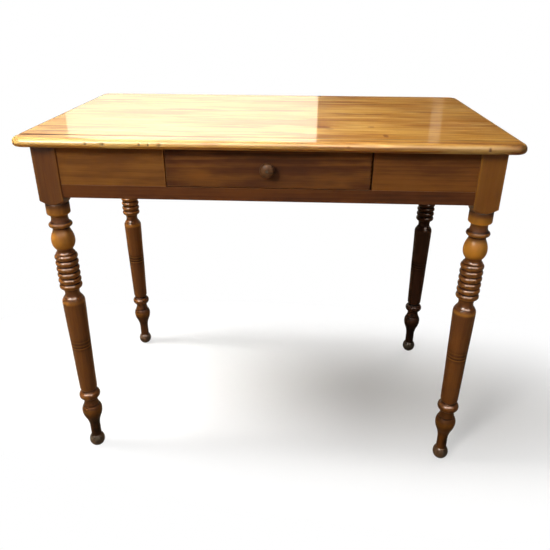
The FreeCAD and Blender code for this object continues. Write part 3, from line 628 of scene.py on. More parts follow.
@dataclass
class TableTop:
    """The four boards of the top, with rounded and nicked edges and open joints."""

    boards: Sequence[str] = ("top_board_front", "top_board_second", "top_board_third", "top_board_back")
    corner_radius: float = 0.026
    upper_round: float = 0.010
    lower_round: float = 0.006
    crease: float = 50.0
    pitch: float = 0.0075
    edge_shares: Sequence[float] = (0.0, 0.02, 0.06, 0.12, 0.20, 0.31, 0.46, 0.63, 0.82, 1.0)
    edge_zone: float = 1.2
    end_zone: float = 0.020
    end_steps: int = 14
    end_crowding: float = 1.6
    joint_ease: float = 0.0005
    joint_hollow: float = 0.5
    joint_dirt: float = 0.0022
    joint_dark: float = 0.45
    front_joint_dark: float = 1.2
    crack_reach: float = 0.10
    crack_width: float = 0.0016
    crack_dirt: float = 0.0030
    crack_hollow: float = 2.0
    nicks: Sequence[Nick] = (
        Nick(-0.316, 0.0024, 0.0006), Nick(-0.285, 0.0034, 0.0010), Nick(-0.220, 0.0018, 0.0007),
        Nick(-0.204, 0.0016, 0.0006), Nick(-0.184, 0.0040, 0.0010), Nick(0.146, 0.0024, 0.0006),
        Nick(0.387, 0.0020, 0.0005),
    )
    nick_reach: float = 0.0014
    nick_stations: Sequence[float] = (-2.0, -1.5, -1.0, -0.5, 0.0, 0.5, 1.0, 1.5, 2.0)
    nick_pull: float = 0.6
    nick_dirt: float = 0.9
    shade_slope: float = 1.5
    # The front edge is lightened by wear and a painted highlight, with more painted light toward the left.
    rub_and_light_reach: float = 0.7
    edge_rub_and_highlight: float = 0.35
    left_painted_light: float = 0.45
    # Painted shade: the right end, the right part of the front edge and the underside are darkened.
    shaded_end: float = 0.24
    end_painted_shade: float = 0.70
    edge_painted_shade: float = 0.46
    under_painted_shade: float = 0.40
    lit_under_painted_shade: float = 0.3
    heart_side: float = 0.022
    heart_depth: float = -0.060
    first_seed: int = 3
    spots: Sequence[Spot] = (
        Spot(0.217, -0.209, 0.0060, 0.0140, 0.60), Spot(0.118, -0.154, 0.010, 0.012, 0.45),
        Spot(0.104, -0.136, 0.020, 0.014, 0.35), Spot(0.198, -0.130, 0.008, 0.009, 0.40),
        Spot(-0.398, -0.203, 0.045, 0.032, 0.16), Spot(-0.404, -0.196, 0.014, 0.011, 0.30),
        Spot(0.180, 0.010, 0.090, 0.011, 0.22), Spot(0.330, 0.040, 0.080, 0.020, 0.20),
    )
    low: Vector = field(init=False)
    high: Vector = field(init=False)

    def __post_init__(self) -> None:
        """Take the size of the whole top from its solids."""
        boxes = [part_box(node) for node in self.boards]
        self.low = Vector(min(box[0][axis] for box in boxes) for axis in range(3))
        self.high = Vector(max(box[1][axis] for box in boxes) for axis in range(3))

    def inset(self, x: np.ndarray, y: np.ndarray) -> np.ndarray:
        """How far places lie inside the outline of the top.

        Args:
            x: Places along the top.
            y: Places across it.

        Returns:
            The distance to the outline.
        """
        past_x = np.abs(x) - (self.high.x - self.corner_radius)
        past_y = np.abs(y) - (self.high.y - self.corner_radius)
        outside = np.hypot(np.maximum(past_x, 0.0), np.maximum(past_y, 0.0))
        inside = np.minimum(np.maximum(past_x, past_y), 0.0)
        return self.corner_radius - outside - inside

    def half_length(self, y: np.ndarray) -> np.ndarray:
        """How far the top reaches along X.

        Args:
            y: Places across the top.

        Returns:
            The distance from the middle to the outline on the lines there.
        """
        past = np.maximum(np.abs(y) - (self.high.y - self.corner_radius), 0.0)
        reach = np.sqrt(np.maximum(self.corner_radius ** 2 - past ** 2, 0.0))
        return self.high.x - self.corner_radius + reach

    @staticmethod
    def fall(inset: np.ndarray, radius: float) -> np.ndarray:
        """How far a rounded edge has fallen away at an inset from the outline."""
        left = np.clip(radius - inset, 0.0, radius)
        return radius - np.sqrt(radius ** 2 - left ** 2)

    def rows(self, low: float, high: float) -> np.ndarray:
        """Stations across a board, close together at its two edges.

        Args:
            low: The front edge of the board.
            high: The back edge.

        Returns:
            Places from edge to edge.
        """
        steps = np.array(self.edge_shares) * self.upper_round * self.edge_zone
        count = max(2, round((high - low) / self.pitch))
        spread = np.linspace(low + steps[-1], high - steps[-1], count)
        return np.unique(np.concatenate((low + steps, spread, high - steps)).round(6))

    def columns(self) -> np.ndarray:
        """Stations along the plain middle of the top, close together at the nicks.

        Returns:
            Places from left to right.
        """
        reach = self.high.x - self.corner_radius - self.end_zone
        even = np.linspace(-reach, reach, round(2 * reach / self.pitch))
        around = np.array(self.nick_stations)
        dents = [nick.along + around * nick.length for nick in self.nicks]
        return np.unique(np.concatenate((even, *dents)).round(5))

    def crack(self, x: np.ndarray) -> np.ndarray:
        """How open the front joint is: 1 at the left end of the top and shut toward the right."""
        return np.exp((self.low.x - x) / self.crack_reach)

    def dents(self, x: np.ndarray, y: np.ndarray, inset: np.ndarray) -> tuple[np.ndarray, np.ndarray]:
        """The dents in the front edge.

        Args:
            x: Places along the top.
            y: Places across it.
            inset: How far they lie inside the outline.

        Returns:
            The depth of the dents, and how dirty they are.
        """
        depth, dirt_and_shade = np.zeros_like(x), np.zeros_like(x)
        near = np.exp(-(inset / self.nick_reach) ** 2) * (y < 0.0)
        for nick in self.nicks:
            share = np.exp(-((x - nick.along) / nick.length) ** 2) * near
            depth += nick.depth * share
            dirt_and_shade += self.nick_dirt * share
        return depth, dirt_and_shade

    def board_mesh(self, node: str) -> bpy.types.Mesh:
        """Make one board as a closed mesh.

        Args:
            node: The solid that the board stands for.

        Returns:
            The mesh.
        """
        low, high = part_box(node)
        row = self.rows(low.y, high.y)[:, None]
        middle = self.columns()[None, :]
        shares = np.linspace(0.0, 1.0, self.end_steps, endpoint=False) ** self.end_crowding
        end = self.half_length(row)
        zone = (end - middle[0, -1]) * shares[None, :]
        x = np.concatenate((zone - end, np.repeat(middle, len(row), 0), (end - zone)[:, ::-1]), axis=1)
        y = np.repeat(row, x.shape[1], 1)

        inset = self.inset(x, y)
        depth, dirt_and_shade = self.dents(x, y, inset)
        upper = np.full_like(x, self.high.z) - self.fall(inset, self.upper_round) - depth
        lower = np.full_like(x, self.low.z) + self.fall(inset, self.lower_round)
        to_right = np.clip(0.5 + self.shade_slope * x / self.high.x, 0.0, 1.0)
        # Wear and a painted highlight on the front edge, with more painted light toward the left.
        rub_and_light = self.edge_rub_and_highlight + self.left_painted_light * (1.0 - to_right)
        rub_and_light = rub_and_light * np.exp(-(inset / (self.rub_and_light_reach * self.upper_round)) ** 2)
        # Painted shade toward the right end and along the right part of the front edge.
        at_end = self.end_painted_shade * np.clip((x - self.high.x) / self.shaded_end + 1.0, 0.0, 1.0)
        at_edge = self.edge_painted_shade * np.exp(-(inset / self.upper_round) ** 2) * to_right
        dirt_and_shade += np.maximum(at_end, at_edge)
        moved = y + self.nick_pull * depth
        for edge, inward in ((low.y, 1.0), (high.y, -1.0)):
            if edge in (self.low.y, self.high.y):
                continue
            apart = np.abs(y - edge)
            front = abs(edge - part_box(self.boards[0])[1].y) < self.joint_ease
            opening = self.crack(x) if front else np.zeros_like(x)
            width = self.joint_dirt + self.crack_dirt * opening
            close = np.exp(-(apart / width) ** 2)
            upper -= self.joint_ease * (self.joint_hollow + self.crack_hollow * opening) * close
            dirt_and_shade += close * ((self.front_joint_dark if front else self.joint_dark) + opening)
            moved += inward * 0.5 * self.crack_width * opening * (apart < self.joint_ease)
        # Painted shade on the underside, deeper toward the right.
        under = self.under_painted_shade * (self.lit_under_painted_shade + (1.0 - self.lit_under_painted_shade) * to_right)
        wear = np.stack((np.concatenate((dirt_and_shade, under)), np.concatenate((rub_and_light, 0.0 * rub_and_light))), -1)
        over_points, under_points = np.stack((x, moved, upper), -1), np.stack((x, y, lower), -1)
        return self.closed(node, over_points, under_points, wear.reshape(-1, 2))

    def closed(self, node: str, upper: np.ndarray, lower: np.ndarray, wear: np.ndarray) -> bpy.types.Mesh:
        """Join an upper and a lower sheet of points by walls round their rims.

        Args:
            node: The solid that the board stands for.
            upper: Rows of points of the upper face.
            lower: The points under them.
            wear: Grime and painted shade, and rubbing and painted light, at the upper points, then at the
                lower.

        Returns:
            The mesh.
        """
        count_y, count_x, _ = upper.shape
        number = np.arange(count_y * count_x).reshape(count_y, count_x)
        corners = (number[:-1, :-1], number[:-1, 1:], number[1:, 1:], number[1:, :-1])
        over = np.stack([corner.ravel() for corner in corners], axis=1)
        under = over[:, ::-1] + number.size
        rim = np.concatenate((number[0, :-1], number[:-1, -1], number[-1, :0:-1], number[:0:-1, 0]))
        after = np.roll(rim, -1)
        wall = np.stack((rim, rim + number.size, after + number.size, after), axis=1)
        points = np.concatenate((upper.reshape(-1, 3), lower.reshape(-1, 3)))
        faces = np.concatenate((over, under, wall)).tolist()
        return worn_mesh(f"{node}_worn", points, faces, wear, self.crease)

    def build(self) -> None:
        """Make and dress the boards."""
        for number, node in enumerate(self.boards):
            piece = add_piece(f"{node}_worn", self.board_mesh(node))
            low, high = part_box(node)
            spots = [spot for spot in self.spots if low.y < spot.across < high.y]
            away = ((-1) ** number * self.heart_side, self.heart_depth)
            heart, seed = heart_of(node, Grain.ALONG_X, away), self.first_seed + number
            dress(piece, TOP_WOOD.material(node, Grain.ALONG_X, seed, heart, spots))
            stand_for(piece, node, Body.FRAME)


@dataclass(frozen=True)
class Crown:
    """A turned form at a height of a leg, lightened to gold: worn polish in part and painted light in
    part.
    """

    height: float
    reach: float
    share: float


@dataclass
class TurnedLeg:
    """A leg with a square block over a turned and worn shaft, after the outline of its solid."""

    node: str
    seed: int
    wood: Wood
    block_length: float = 0.115
    block_half: float = 0.023
    block_steps: int = 12
    arris: float = 0.0013
    arris_turn: float = 1.55
    arris_shares: Sequence[float] = (-1.0, -0.5, 0.5, 1.0)
    arris_reach: float = 0.4
    arris_falloff: int = 6
    arris_rub: float = 0.25
    shoulder_radius: float = 0.0215
    shoulder_slope: float = 1.3
    shoulder_rise: float = 0.0105
    shoulder_steps: int = 14
    facets: int = 64
    least_step: float = 0.00055
    longest_step: float = 0.003
    crease: float = 38.0
    hand_wobble: float = 0.00022
    wobble_waves: Pair = (31.0, 57.0)
    wobble_phase: float = 1.7
    crease_window: float = 0.0045
    crease_depth: float = 0.0012
    crease_slack: float = 0.1
    block_shade: float = 0.004
    # Gold bands on the turned forms: worn polish in part and painted light in part.
    crowns: Sequence[Crown] = (
        Crown(0.105, 0.007, 0.25), Crown(0.392, 0.003, 0.30),
        Crown(0.532, 0.019, 0.60), Crown(0.590, 0.010, 0.42),
    )
    line_height: float = 0.288
    line_band: float = 0.013
    line_sharpness: float = 4.0
    line_dirt: float = 0.7
    line_rub: float = 0.5
    # Bead crests are lightened: wear and a painted highlight.
    bead_rub_and_highlight: float = 0.3
    foot_height: float = 0.034
    foot_fade: float = 0.2
    foot_bare: float = 0.9
    foot_clean: float = 0.78
    # Darker towards the foot, rising over the lower leg.
    low_darkening_height: float = 0.08
    low_darkening: float = 2.4
    hand_height: float = 0.35
    block_dirt: float = 0.14
    # Painted light for a leg that gets less light: over its whole block, and a scale on its gold bands
    # that paints more above 1.
    block_painted_light: float = 0.0
    crown_rub_and_light: float = 1.0
    heart_away: Pair = (0.030, 0.045)

    def angles(self) -> np.ndarray:
        """The angles of the facets, with more at the four arrises of the block.

        Returns:
            Angles round the leg, rising.
        """
        even = np.arange(self.facets) * math.tau / self.facets
        corners = np.arange(4) * math.tau / 4 + math.tau / 8
        turn = math.radians(self.arris_turn)
        close = [corners + share * turn for share in self.arris_shares]
        return np.sort(np.concatenate((even, *close)))

    def outline(self, centre: Vector, bottom: float) -> np.ndarray:
        """Read the turned outline from the solid.

        Args:
            centre: The middle of the leg.
            bottom: The height where the block starts.

        Returns:
            Rows of radius and height, from the floor up.
        """
        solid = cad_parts[self.node].data
        points = np.array([vertex.co for vertex in solid.vertices])
        radius = np.hypot(points[:, 0] - centre.x, points[:, 1] - centre.y)
        turned = points[:, 2] < bottom - self.least_step / 4
        pairs = np.unique(np.stack((points[turned, 2], radius[turned]), 1).round(5), axis=0)
        kept = [(pairs[0, 1], pairs[0, 0])]
        for height in np.unique(pairs[:, 0])[1:]:
            here = pairs[pairs[:, 0] == height, 1]
            order = sorted(here, key=lambda r: abs(r - kept[-1][0]))
            apart = math.hypot(order[0] - kept[-1][0], height - kept[-1][1])
            if len(order) == 1 and apart < self.least_step:
                continue
            kept.extend((r, height) for r in (order[0], order[-1])[:len(order)])
        return self.divided(np.array(kept))

    def divided(self, outline: np.ndarray) -> np.ndarray:
        """Add points on the long runs of an outline.

        Args:
            outline: Rows of radius and height.

        Returns:
            The same rows, with the new ones between them.
        """
        counts = np.ceil(np.diff(outline[:, 1]) / self.longest_step).astype(int).clip(1)
        runs = [np.linspace(outline[number], outline[number + 1], count, endpoint=False)
                for number, count in enumerate(counts)]
        return np.concatenate((*runs, outline[-1:]))

    def wear(self, outline: np.ndarray) -> np.ndarray:
        """How an outline is worn, and where shade and light are painted on it.

        Args:
            outline: Rows of radius and height.

        Returns:
            Grime and painted shade in the hollows, painted shade under the block, darkening towards the
            foot, wear and painted light on the gold bands and bead crests, and bare wood at the foot, one
            row for each point.
        """
        height = np.arange(0.0, outline[-1, 1], self.least_step)
        radius = np.interp(height, outline[:, 1], outline[:, 0])
        width = round(2 * self.crease_window / self.least_step)
        padded = np.pad(radius, (width // 2, width - 1 - width // 2), mode="edge")
        proud = radius - np.convolve(padded, np.ones(width) / width, mode="valid")
        near = proud / self.crease_depth
        band = np.exp(-((height - self.line_height) / self.line_band) ** 4)
        lines = band * np.clip(-self.line_sharpness * near, 0.0, 1.0)
        # Grime and painted shade in the hollows.
        dirt_and_shade = np.clip(-near - self.crease_slack, 0.0, 1.0)
        # Darker towards the foot.
        dirt_and_shade += self.low_darkening * np.exp(-height / self.low_darkening_height)
        # Painted shade under the block.
        dirt_and_shade += np.exp((height - outline[-1, 1]) / self.block_shade)
        dirt_and_shade = dirt_and_shade * (1.0 - band) + self.line_dirt * (band - lines)
        handled = np.clip(height / self.hand_height, 0.0, 1.0)
        # Bead crests lightened by wear and a painted highlight, and the column lines lightened.
        rub_and_light = self.bead_rub_and_highlight * handled * np.clip(near, 0.0, 1.0) * (1.0 - band) + self.line_rub * lines
        # Gold bands on the turned forms: worn polish and painted light.
        for crown in self.crowns:
            rub_and_light += self.crown_rub_and_light * crown.share * np.exp(-((height - crown.height) / crown.reach) ** 4)
        bare = (self.foot_height - height) / (self.foot_fade * self.foot_height)
        bare = np.clip(bare, 0.0, self.foot_bare)
        dirt_and_shade *= 1.0 - self.foot_clean * bare
        return np.stack([np.interp(outline[:, 1], height, share) for share in (dirt_and_shade, rub_and_light, bare)], axis=1)

    def square(self, angles: np.ndarray) -> np.ndarray:
        """The radius of the block, with its arrises rounded.

        Args:
            angles: Angles round the leg.

        Returns:
            The radius at each angle.
        """
        turn = np.abs((angles + math.tau / 8) % (math.tau / 4) - math.tau / 8)
        flat = self.block_half / np.cos(turn)
        core = self.block_half - self.arris
        toward = core * (np.cos(turn) + np.sin(turn))
        inside = np.maximum(toward ** 2 - 2 * core ** 2 + self.arris ** 2, 0.0)
        round_off = toward + np.sqrt(inside)
        return np.where(np.tan(turn) * self.block_half > core, np.minimum(flat, round_off), flat)

    def build(self) -> None:
        """Make the leg as one closed mesh and dress it."""
        low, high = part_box(self.node)
        centre, bottom = (low + high) / 2, high.z - self.block_length
        outline, angles = self.outline(centre, bottom), self.angles()
        turned = np.repeat(outline[:, :1], len(angles), 1)
        heights = np.repeat(outline[:, 1:], len(angles), 1)
        slow, quick = self.wobble_waves
        wobble = np.sin(2 * angles[None, :] + slow * heights + self.wobble_phase * self.seed)
        wobble = (wobble + np.sin(3 * angles[None, :] - quick * heights)) / 2
        turned = turned - self.hand_wobble * (1.0 + wobble) * (heights > 0.0)
        wear = np.repeat(self.wear(outline)[:, None, :], len(angles), 1)

        rises = np.linspace(0.0, self.shoulder_rise, self.shoulder_steps)
        straight = np.linspace(bottom + self.shoulder_rise, high.z, self.block_steps)
        levels = np.concatenate((bottom + rises, straight[1:]))
        cone = self.shoulder_radius + self.shoulder_slope * (levels - bottom)
        square = self.square(angles)
        block = np.minimum(square[None, :], cone[:, None])
        on_arris = np.clip((square - self.block_half) / (self.arris_reach * self.block_half), 0.0, 1.0)
        block_wear = np.zeros((*block.shape, 3))
        block_wear[:, :, 0] = self.block_dirt
        # Painted light over the whole block of one leg, and wear on its arrises.
        block_wear[:, :, 1] = self.block_painted_light + self.arris_rub * on_arris[None, :] ** self.arris_falloff

        radius = np.concatenate((turned, block))
        height = np.concatenate((heights, np.repeat(levels[:, None], len(angles), 1)))
        wear = np.concatenate((wear, block_wear)).reshape(-1, 3)
        x = centre.x + radius * np.cos(angles)
        y = centre.y + radius * np.sin(angles)
        points = np.stack((x, y, height), -1).reshape(-1, 3)
        number = np.arange(len(points)).reshape(radius.shape)
        after = np.roll(number, -1, axis=1)
        sides = np.stack((number[:-1], after[:-1], after[1:], number[1:]), -1).reshape(-1, 4).tolist()
        faces = sides + [number[0, ::-1].tolist(), number[-1].tolist()]
        name = f"{self.node}_worn"
        piece = add_piece(name, worn_mesh(name, points, faces, wear, self.crease))
        heart = heart_of(self.node, Grain.ALONG_Z, self.heart_away)
        dress(piece, self.wood.material(self.node, Grain.ALONG_Z, self.seed, heart))
        stand_for(piece, self.node, Body.FRAME)


@dataclass
class EasedBoard:
    """A board of the frieze or the drawer, as its solid but with rounded arrises that are worn and
    lightened by a painted highlight.
    """

    node: str
    body: Body
    slot: Slot
    wood: Wood
    grain: Grain
    seed: int
    away: Sequence[float] = (0.050, 0.020)
    arris: float = 0.0009
    shortest: float = 0.025
    weld: float = 1e-6
    flat_angle: float = 1.0
    sharp_angle: float = 30.0
    # How much the rounded arrises are lightened: wear and a painted highlight.
    rub_and_light: float = 0.75

    def build(self) -> None:
        """Round the long edges of a copy of the solid and dress it."""
        sheet = bmesh.new()
        sheet.from_mesh(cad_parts[self.node].data)
        layer = sheet.loops.layers.float_color.new(WEAR)
        bmesh.ops.remove_doubles(sheet, verts=sheet.verts, dist=self.weld)
        flat, sharp = math.radians(self.flat_angle), math.radians(self.sharp_angle)
        bmesh.ops.dissolve_limit(sheet, angle_limit=flat, verts=sheet.verts, edges=sheet.edges)
        long_edges = [
            edge for edge in sheet.edges
            if edge.is_manifold and edge.calc_face_angle() > sharp and edge.calc_length() > self.shortest
        ]
        eased = bmesh.ops.bevel(sheet, geom=long_edges, offset=self.arris, segments=2, profile=0.5,
                                affect="EDGES", clamp_overlap=True)
        # The rounded arrises are lightened: wear and a painted highlight.
        rubbed_and_lit = set(eased["faces"])
        for face in sheet.faces:
            for corner in face.loops:
                corner[layer] = (0.0, self.rub_and_light if face in rubbed_and_lit else 0.0, 0.0, 1.0)
        mesh = bpy.data.meshes.new(f"{self.node}_eased")
        sheet.to_mesh(mesh)
        sheet.free()
        piece = add_piece(f"{self.node}_eased", mesh)
        heart = heart_of(self.node, self.grain, self.away)
        dress(piece, self.wood.material(self.node, self.grain, self.seed, heart))
        stand_for(piece, self.node, self.body)


@dataclass
class Frieze:
    """The boards of the frieze and the drawer that are seen from outside or when the drawer is open."""

    across: Sequence[tuple[str, Body, Wood, Pair]] = (
        ("front_rail", Body.FRAME, RAIL_WOOD, (0.03, -0.05)),
        ("front_panel_left", Body.FRAME, PANEL_WOOD, (0.07, 0.03)),
        ("front_panel_right", Body.FRAME, FRIEZE_WOOD, (0.06, -0.06)),
        ("back_apron", Body.FRAME, FRIEZE_WOOD, (-0.05, 0.04)),
        ("drawer_front", Body.DRAWER, DRAWER_WOOD, (0.06, -0.02)),
    )
    across_seed: int = 11
    apron_seed: int = 21
    drawer_side_seed: int = 25
    drawer_back_seed: int = 29
    inner_arris: float = 0.0005
    inner_rub: float = 0.2

    def inner(self, node: str, grain: Grain, seed: int) -> EasedBoard:
        """A bare board of the drawer."""
        return EasedBoard(node, Body.DRAWER, Slot.INNER, INNER_WOOD, grain, seed,
                          arris=self.inner_arris, rub_and_light=self.inner_rub)

    def boards(self) -> list[EasedBoard]:
        """List the boards.

        Returns:
            The boards, in the order of their making.
        """
        boards = [
            EasedBoard(node, body, Slot.FRIEZE, wood, Grain.ALONG_X, self.across_seed + number, away)
            for number, (node, body, wood, away) in enumerate(self.across)
        ]
        for number, side in enumerate(("left", "right")):
            boards.append(EasedBoard(f"side_apron_{side}", Body.FRAME, Slot.FRIEZE, FRIEZE_WOOD,
                                     Grain.ALONG_Y, self.apron_seed + number))
            seed = self.drawer_side_seed + number
            boards.append(self.inner(f"drawer_side_{side}", Grain.ALONG_Y, seed))
        boards.append(self.inner("drawer_back", Grain.ALONG_X, self.drawer_back_seed))
        return boards

    def build(self) -> None:
        """Make and dress the boards."""
        for board in self.boards():
            board.build()


@dataclass
class Knob:
    """The turned knob, smooth, with grime round its foot and its crown worn."""

    node: str = "drawer_knob"
    foot: float = 0.006
    crown: float = 0.014
    crown_rub_and_light: float = 0.6
    heart_away: Pair = (0.02, 0.01)
    seed: int = 31

    def build(self) -> None:
        """Copy the solid of the knob with its wear and dress it."""
        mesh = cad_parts[self.node].data.copy()
        mesh.name = f"{self.node}_rubbed"
        low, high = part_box(self.node)
        out = high.y - np.array([vertex.co.y for vertex in mesh.vertices])
        dirt_and_shade = 1.0 - out / self.foot
        rub_and_light = self.crown_rub_and_light * (out - self.crown) / (high.y - low.y - self.crown)
        paint_wear(mesh, np.stack((dirt_and_shade, rub_and_light), axis=1))
        piece = add_piece(mesh.name, mesh)
        heart = heart_of(self.node, Grain.ALONG_Y, self.heart_away)
        dress(piece, KNOB_WOOD.material(self.node, Grain.ALONG_Y, self.seed, heart))
        stand_for(piece, self.node, Body.DRAWER)


@dataclass
class Inside:
    """The unpolished pieces and the fastenings, which keep the solids of the frame."""

    bearers: Sequence[str] = (
        "drawer_runner_left", "drawer_runner_right", "drawer_guide_left", "drawer_guide_right",
        "fixing_blocks_left", "fixing_blocks_right",
    )
    cross_pieces: Sequence[str] = ("drawer_stops", "drawer_bottom")
    fastenings: Sequence[str] = ("top_screws", "drawer_bottom_nails", "knob_screw")
    heart_away: Pair = (0.03, -0.04)
    first_seed: int = 41

    def build(self) -> None:
        """Dress each solid."""
        runs = [(node, Grain.ALONG_Y) for node in self.bearers]
        runs += [(node, Grain.ALONG_X) for node in self.cross_pieces]
        for seed, (node, grain) in enumerate(runs, self.first_seed):
            heart = heart_of(node, grain, self.heart_away)
            dress(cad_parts[node], INNER_WOOD.material(node, grain, seed, heart))
            LOG.info("%s is dressed as bare wood", node)
        steel = Steel().material()
        for node in self.fastenings:
            dress(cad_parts[node], steel)
            LOG.info("%s is dressed as steel", node)


DAYLIGHT = (1.0, 0.98, 0.95)
LAMPLIGHT = (1.0, 0.97, 0.92)
CREAM = (1.0, 0.90, 0.72)
AMBER = (1.0, 0.82, 0.56)
ROSY = (1.0, 0.88, 0.76)


@dataclass(frozen=True)
class Panel:
    """A flat source of light that faces a place, with its glow at its lower and its upper edge."""

    name: str
    place: Triple
    aim: Triple
    width: float
    height: float
    glow: Pair
    colour: Colour
    lights: bool = True
    mirrored: bool = True

    def build(self) -> None:
        """Make the panel, unseen by the camera."""
        mesh = flat_sheet(self.name, self.width, self.height)
        panel = add_piece(self.name, mesh)
        panel.location = self.place
        panel.rotation_mode = "QUATERNION"
        panel.rotation_quaternion = (Vector(self.aim) - Vector(self.place)).to_track_quat("Z", "Y")
        graph = Graph(self.name)
        up = graph.node("ShaderNodeSeparateXYZ", {0: graph.place()}).outputs[1]
        share = graph.calc("MULTIPLY_ADD", up, 1 / self.height, 0.5)
        strength = graph.calc("MULTIPLY_ADD", share, self.glow[1] - self.glow[0], self.glow[0])
        light = graph.node("ShaderNodeEmission", {"Color": self.colour, "Strength": strength})
        back = graph.node("ShaderNodeNewGeometry").outputs["Backfacing"]
        dark = graph.node("ShaderNodeBsdfTransparent")
        mesh.materials.append(graph.blend(back, light, dark))
        panel.visible_camera = False
        panel.visible_shadow = False
        panel.visible_diffuse = self.lights
        panel.visible_glossy = self.mirrored


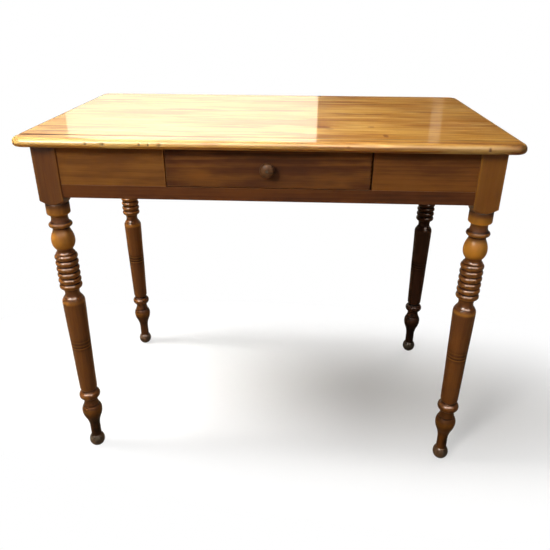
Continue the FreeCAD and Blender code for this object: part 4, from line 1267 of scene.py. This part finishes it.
@dataclass
class Studio:
    """The floor, the light and the surroundings."""

    ambient: float = 0.12
    ambient_colour: Colour = (1.0, 0.97, 0.93)
    floor_seen: Colour = (0.90, 0.90, 0.90)
    floor_lift: float = 0.06
    floor_around: Colour = (0.15, 0.105, 0.06)
    floor_size: float = 9.0
    mirrored_white: float = 3.4
    shade_middle: Triple = (0.17, 0.02, 0.0)
    shade_turn: Triple = (0.0, 0.0, -0.10)
    shade_reach: Triple = (1.25, 0.47, 1.0)
    panels: Sequence[Panel] = (
        Panel("side_light", (-2.45, -0.10, 4.2), (0.0, 0.0, 0.0), 0.9, 2.6, (38.0, 38.0), DAYLIGHT,
              mirrored=False),
        Panel("front_light", (-1.6, -2.5, 2.3), (-0.1, -0.2, 0.6), 0.9, 0.8, (27.5, 27.5), LAMPLIGHT),
        Panel("back_light", (2.0, 2.3, 1.1), (0.1, 0.1, 0.5), 1.6, 1.2, (6.0, 6.0), LAMPLIGHT,
              mirrored=False),
        Panel("window", (-0.965, 4.0, 2.15), (-0.965, 0.0, 2.15), 2.33, 2.5, (0.78, 4.0), CREAM, False),
        Panel("window_head", (-0.95, 2.1, 4.6), (-0.95, -0.28, 0.75), 2.30, 4.6, (4.6, 4.2), CREAM, False),
        Panel("window_side", (-3.63, 4.0, 1.75), (-3.63, 0.0, 1.75), 3.0, 1.7, (0.35, 1.2), AMBER, False),
        Panel("window_strip", (1.27, 4.0, 1.75), (1.27, 0.0, 1.75), 0.10, 1.7, (0.2, 0.6), CREAM, False),
        Panel("room_head", (-0.40, -2.54, 3.33), (-0.40, 0.30, 1.13), 7.0, 2.4, (8.5, 10.0), ROSY, False),
        Panel("room_back", (0.0, 4.1, 3.0), (0.0, 0.0, 3.0), 12.0, 7.0, (0.02, 0.02), ROSY, False),
        Panel("room_front", (0.0, -5.0, 3.0), (0.0, 0.0, 3.0), 12.0, 7.0, (0.07, 0.07), AMBER, False),
        Panel("room_left", (-6.0, 0.0, 3.0), (0.0, 0.0, 3.0), 10.0, 7.0, (0.12, 0.12), AMBER, False),
        Panel("room_right", (6.0, 0.0, 3.0), (0.0, 0.0, 3.0), 10.0, 7.0, (0.02, 0.02), AMBER, False),
        Panel("room_ceiling", (0.0, 0.0, 6.4), (0.0, 0.0, 0.0), 12.0, 10.0, (0.20, 0.20), CREAM, False),
    )

    def floor(self) -> None:
        """A pale floor that takes the shadow and fades into the white around.

        Polish mirrors the dim floor near the table, and the white only from further away.
        """
        mesh = flat_sheet("floor", self.floor_size, self.floor_size)
        floor = add_piece("floor", mesh)
        graph = Graph("floor")
        place = graph.place()
        inputs = {0: place, 1: self.shade_middle, 2: self.shade_turn, 3: self.shade_reach}
        spread = graph.node("ShaderNodeMapping", inputs, vector_type="TEXTURE").outputs[0]
        lifted = graph.ease(graph.length(spread), 0.0, 1.0, self.floor_lift, 1.0)
        far = graph.ease(graph.length(place), self.mirrored_white, self.floor_size / 2)
        rays = graph.node("ShaderNodeLightPath").outputs
        seen = rays["Is Camera Ray"]
        mirrored = graph.calc("MAXIMUM", rays["Is Glossy Ray"], rays["Is Transmission Ray"])
        colour = graph.mix(seen, self.floor_around, self.floor_seen)
        pale = graph.node("ShaderNodeBsdfDiffuse", {"Color": colour})
        white = graph.node("ShaderNodeEmission")
        share = graph.calc("MULTIPLY_ADD", mirrored, far, graph.calc("MULTIPLY", lifted, seen))
        mesh.materials.append(graph.blend(share, pale, white))

    def surroundings(self) -> None:
        """A dim room, which is white where it is seen straight, mirrored or through glass."""
        world = bpy.data.worlds.new("room")
        world.use_nodes = True
        tree = world.node_tree
        tree.nodes.clear()
        rays = tree.nodes.new("ShaderNodeLightPath").outputs
        seen = rays["Is Camera Ray"]
        for kind in ("Is Glossy Ray", "Is Transmission Ray"):
            either = tree.nodes.new("ShaderNodeMath")
            either.operation = "MAXIMUM"
            tree.links.new(seen, either.inputs[0])
            tree.links.new(rays[kind], either.inputs[1])
            seen = either.outputs[0]
        dim, white = (tree.nodes.new("ShaderNodeBackground") for _ in range(2))
        dim.inputs["Color"].default_value = (*self.ambient_colour, 1.0)
        dim.inputs["Strength"].default_value = self.ambient
        white.inputs["Color"].default_value = (1.0, 1.0, 1.0, 1.0)
        mixed = tree.nodes.new("ShaderNodeMixShader")
        tree.links.new(seen, mixed.inputs[0])
        tree.links.new(dim.outputs[0], mixed.inputs[1])
        tree.links.new(white.outputs[0], mixed.inputs[2])
        output = tree.nodes.new("ShaderNodeOutputWorld")
        tree.links.new(mixed.outputs[0], output.inputs["Surface"])
        bpy.context.scene.world = world

    def build(self) -> None:
        """Set up the floor, the panels and the surroundings."""
        self.floor()
        for panel in self.panels:
            panel.build()
        self.surroundings()
        bpy.context.scene.view_settings.view_transform = "Standard"


@dataclass(frozen=True)
class Viewpoint:
    """The camera, in the photograph's place."""

    place: Triple = (0.06513, -1.24688, 0.95983)
    lens: float = 36.876
    sensor: float = 36.0
    pitch: float = -0.45321
    yaw: float = 0.04630
    roll: float = -0.00498
    nearest: float = 0.01

    def build(self) -> None:
        """Make the camera and look through it."""
        lens = bpy.data.cameras.new("camera")
        lens.lens = self.lens
        lens.sensor_width = self.sensor
        lens.clip_start = self.nearest
        camera = bpy.data.objects.new("camera", lens)
        turn = Matrix.Rotation(self.yaw, 4, "Z") @ Matrix.Rotation(math.pi / 2 + self.pitch, 4, "X")
        camera.matrix_world = Matrix.Translation(self.place) @ turn @ Matrix.Rotation(-self.roll, 4, "Z")
        bpy.context.scene.collection.objects.link(camera)
        bpy.context.scene.camera = camera


def main() -> None:
    """Build the table, piece by piece, then its light and camera."""
    logging.basicConfig(level=logging.INFO, format="%(message)s")
    TableTop().build()
    TurnedLeg("leg_front_left", 51, LEG_WOOD).build()
    # The front right leg gets painted light on its block and its gold bands.
    TurnedLeg("leg_front_right", 52, LEG_WOOD, block_painted_light=0.22, crown_rub_and_light=1.4).build()
    TurnedLeg("leg_back_left", 53, LEG_WOOD).build()
    # The back right leg wears the darker copy of the leg wood, painted shade.
    TurnedLeg("leg_back_right", 54, PAINTED_SHADE_LEG_WOOD).build()
    Frieze().build()
    Knob().build()
    Inside().build()
    Studio().build()
    Viewpoint().build()


if __name__ == "__main__":
    main()
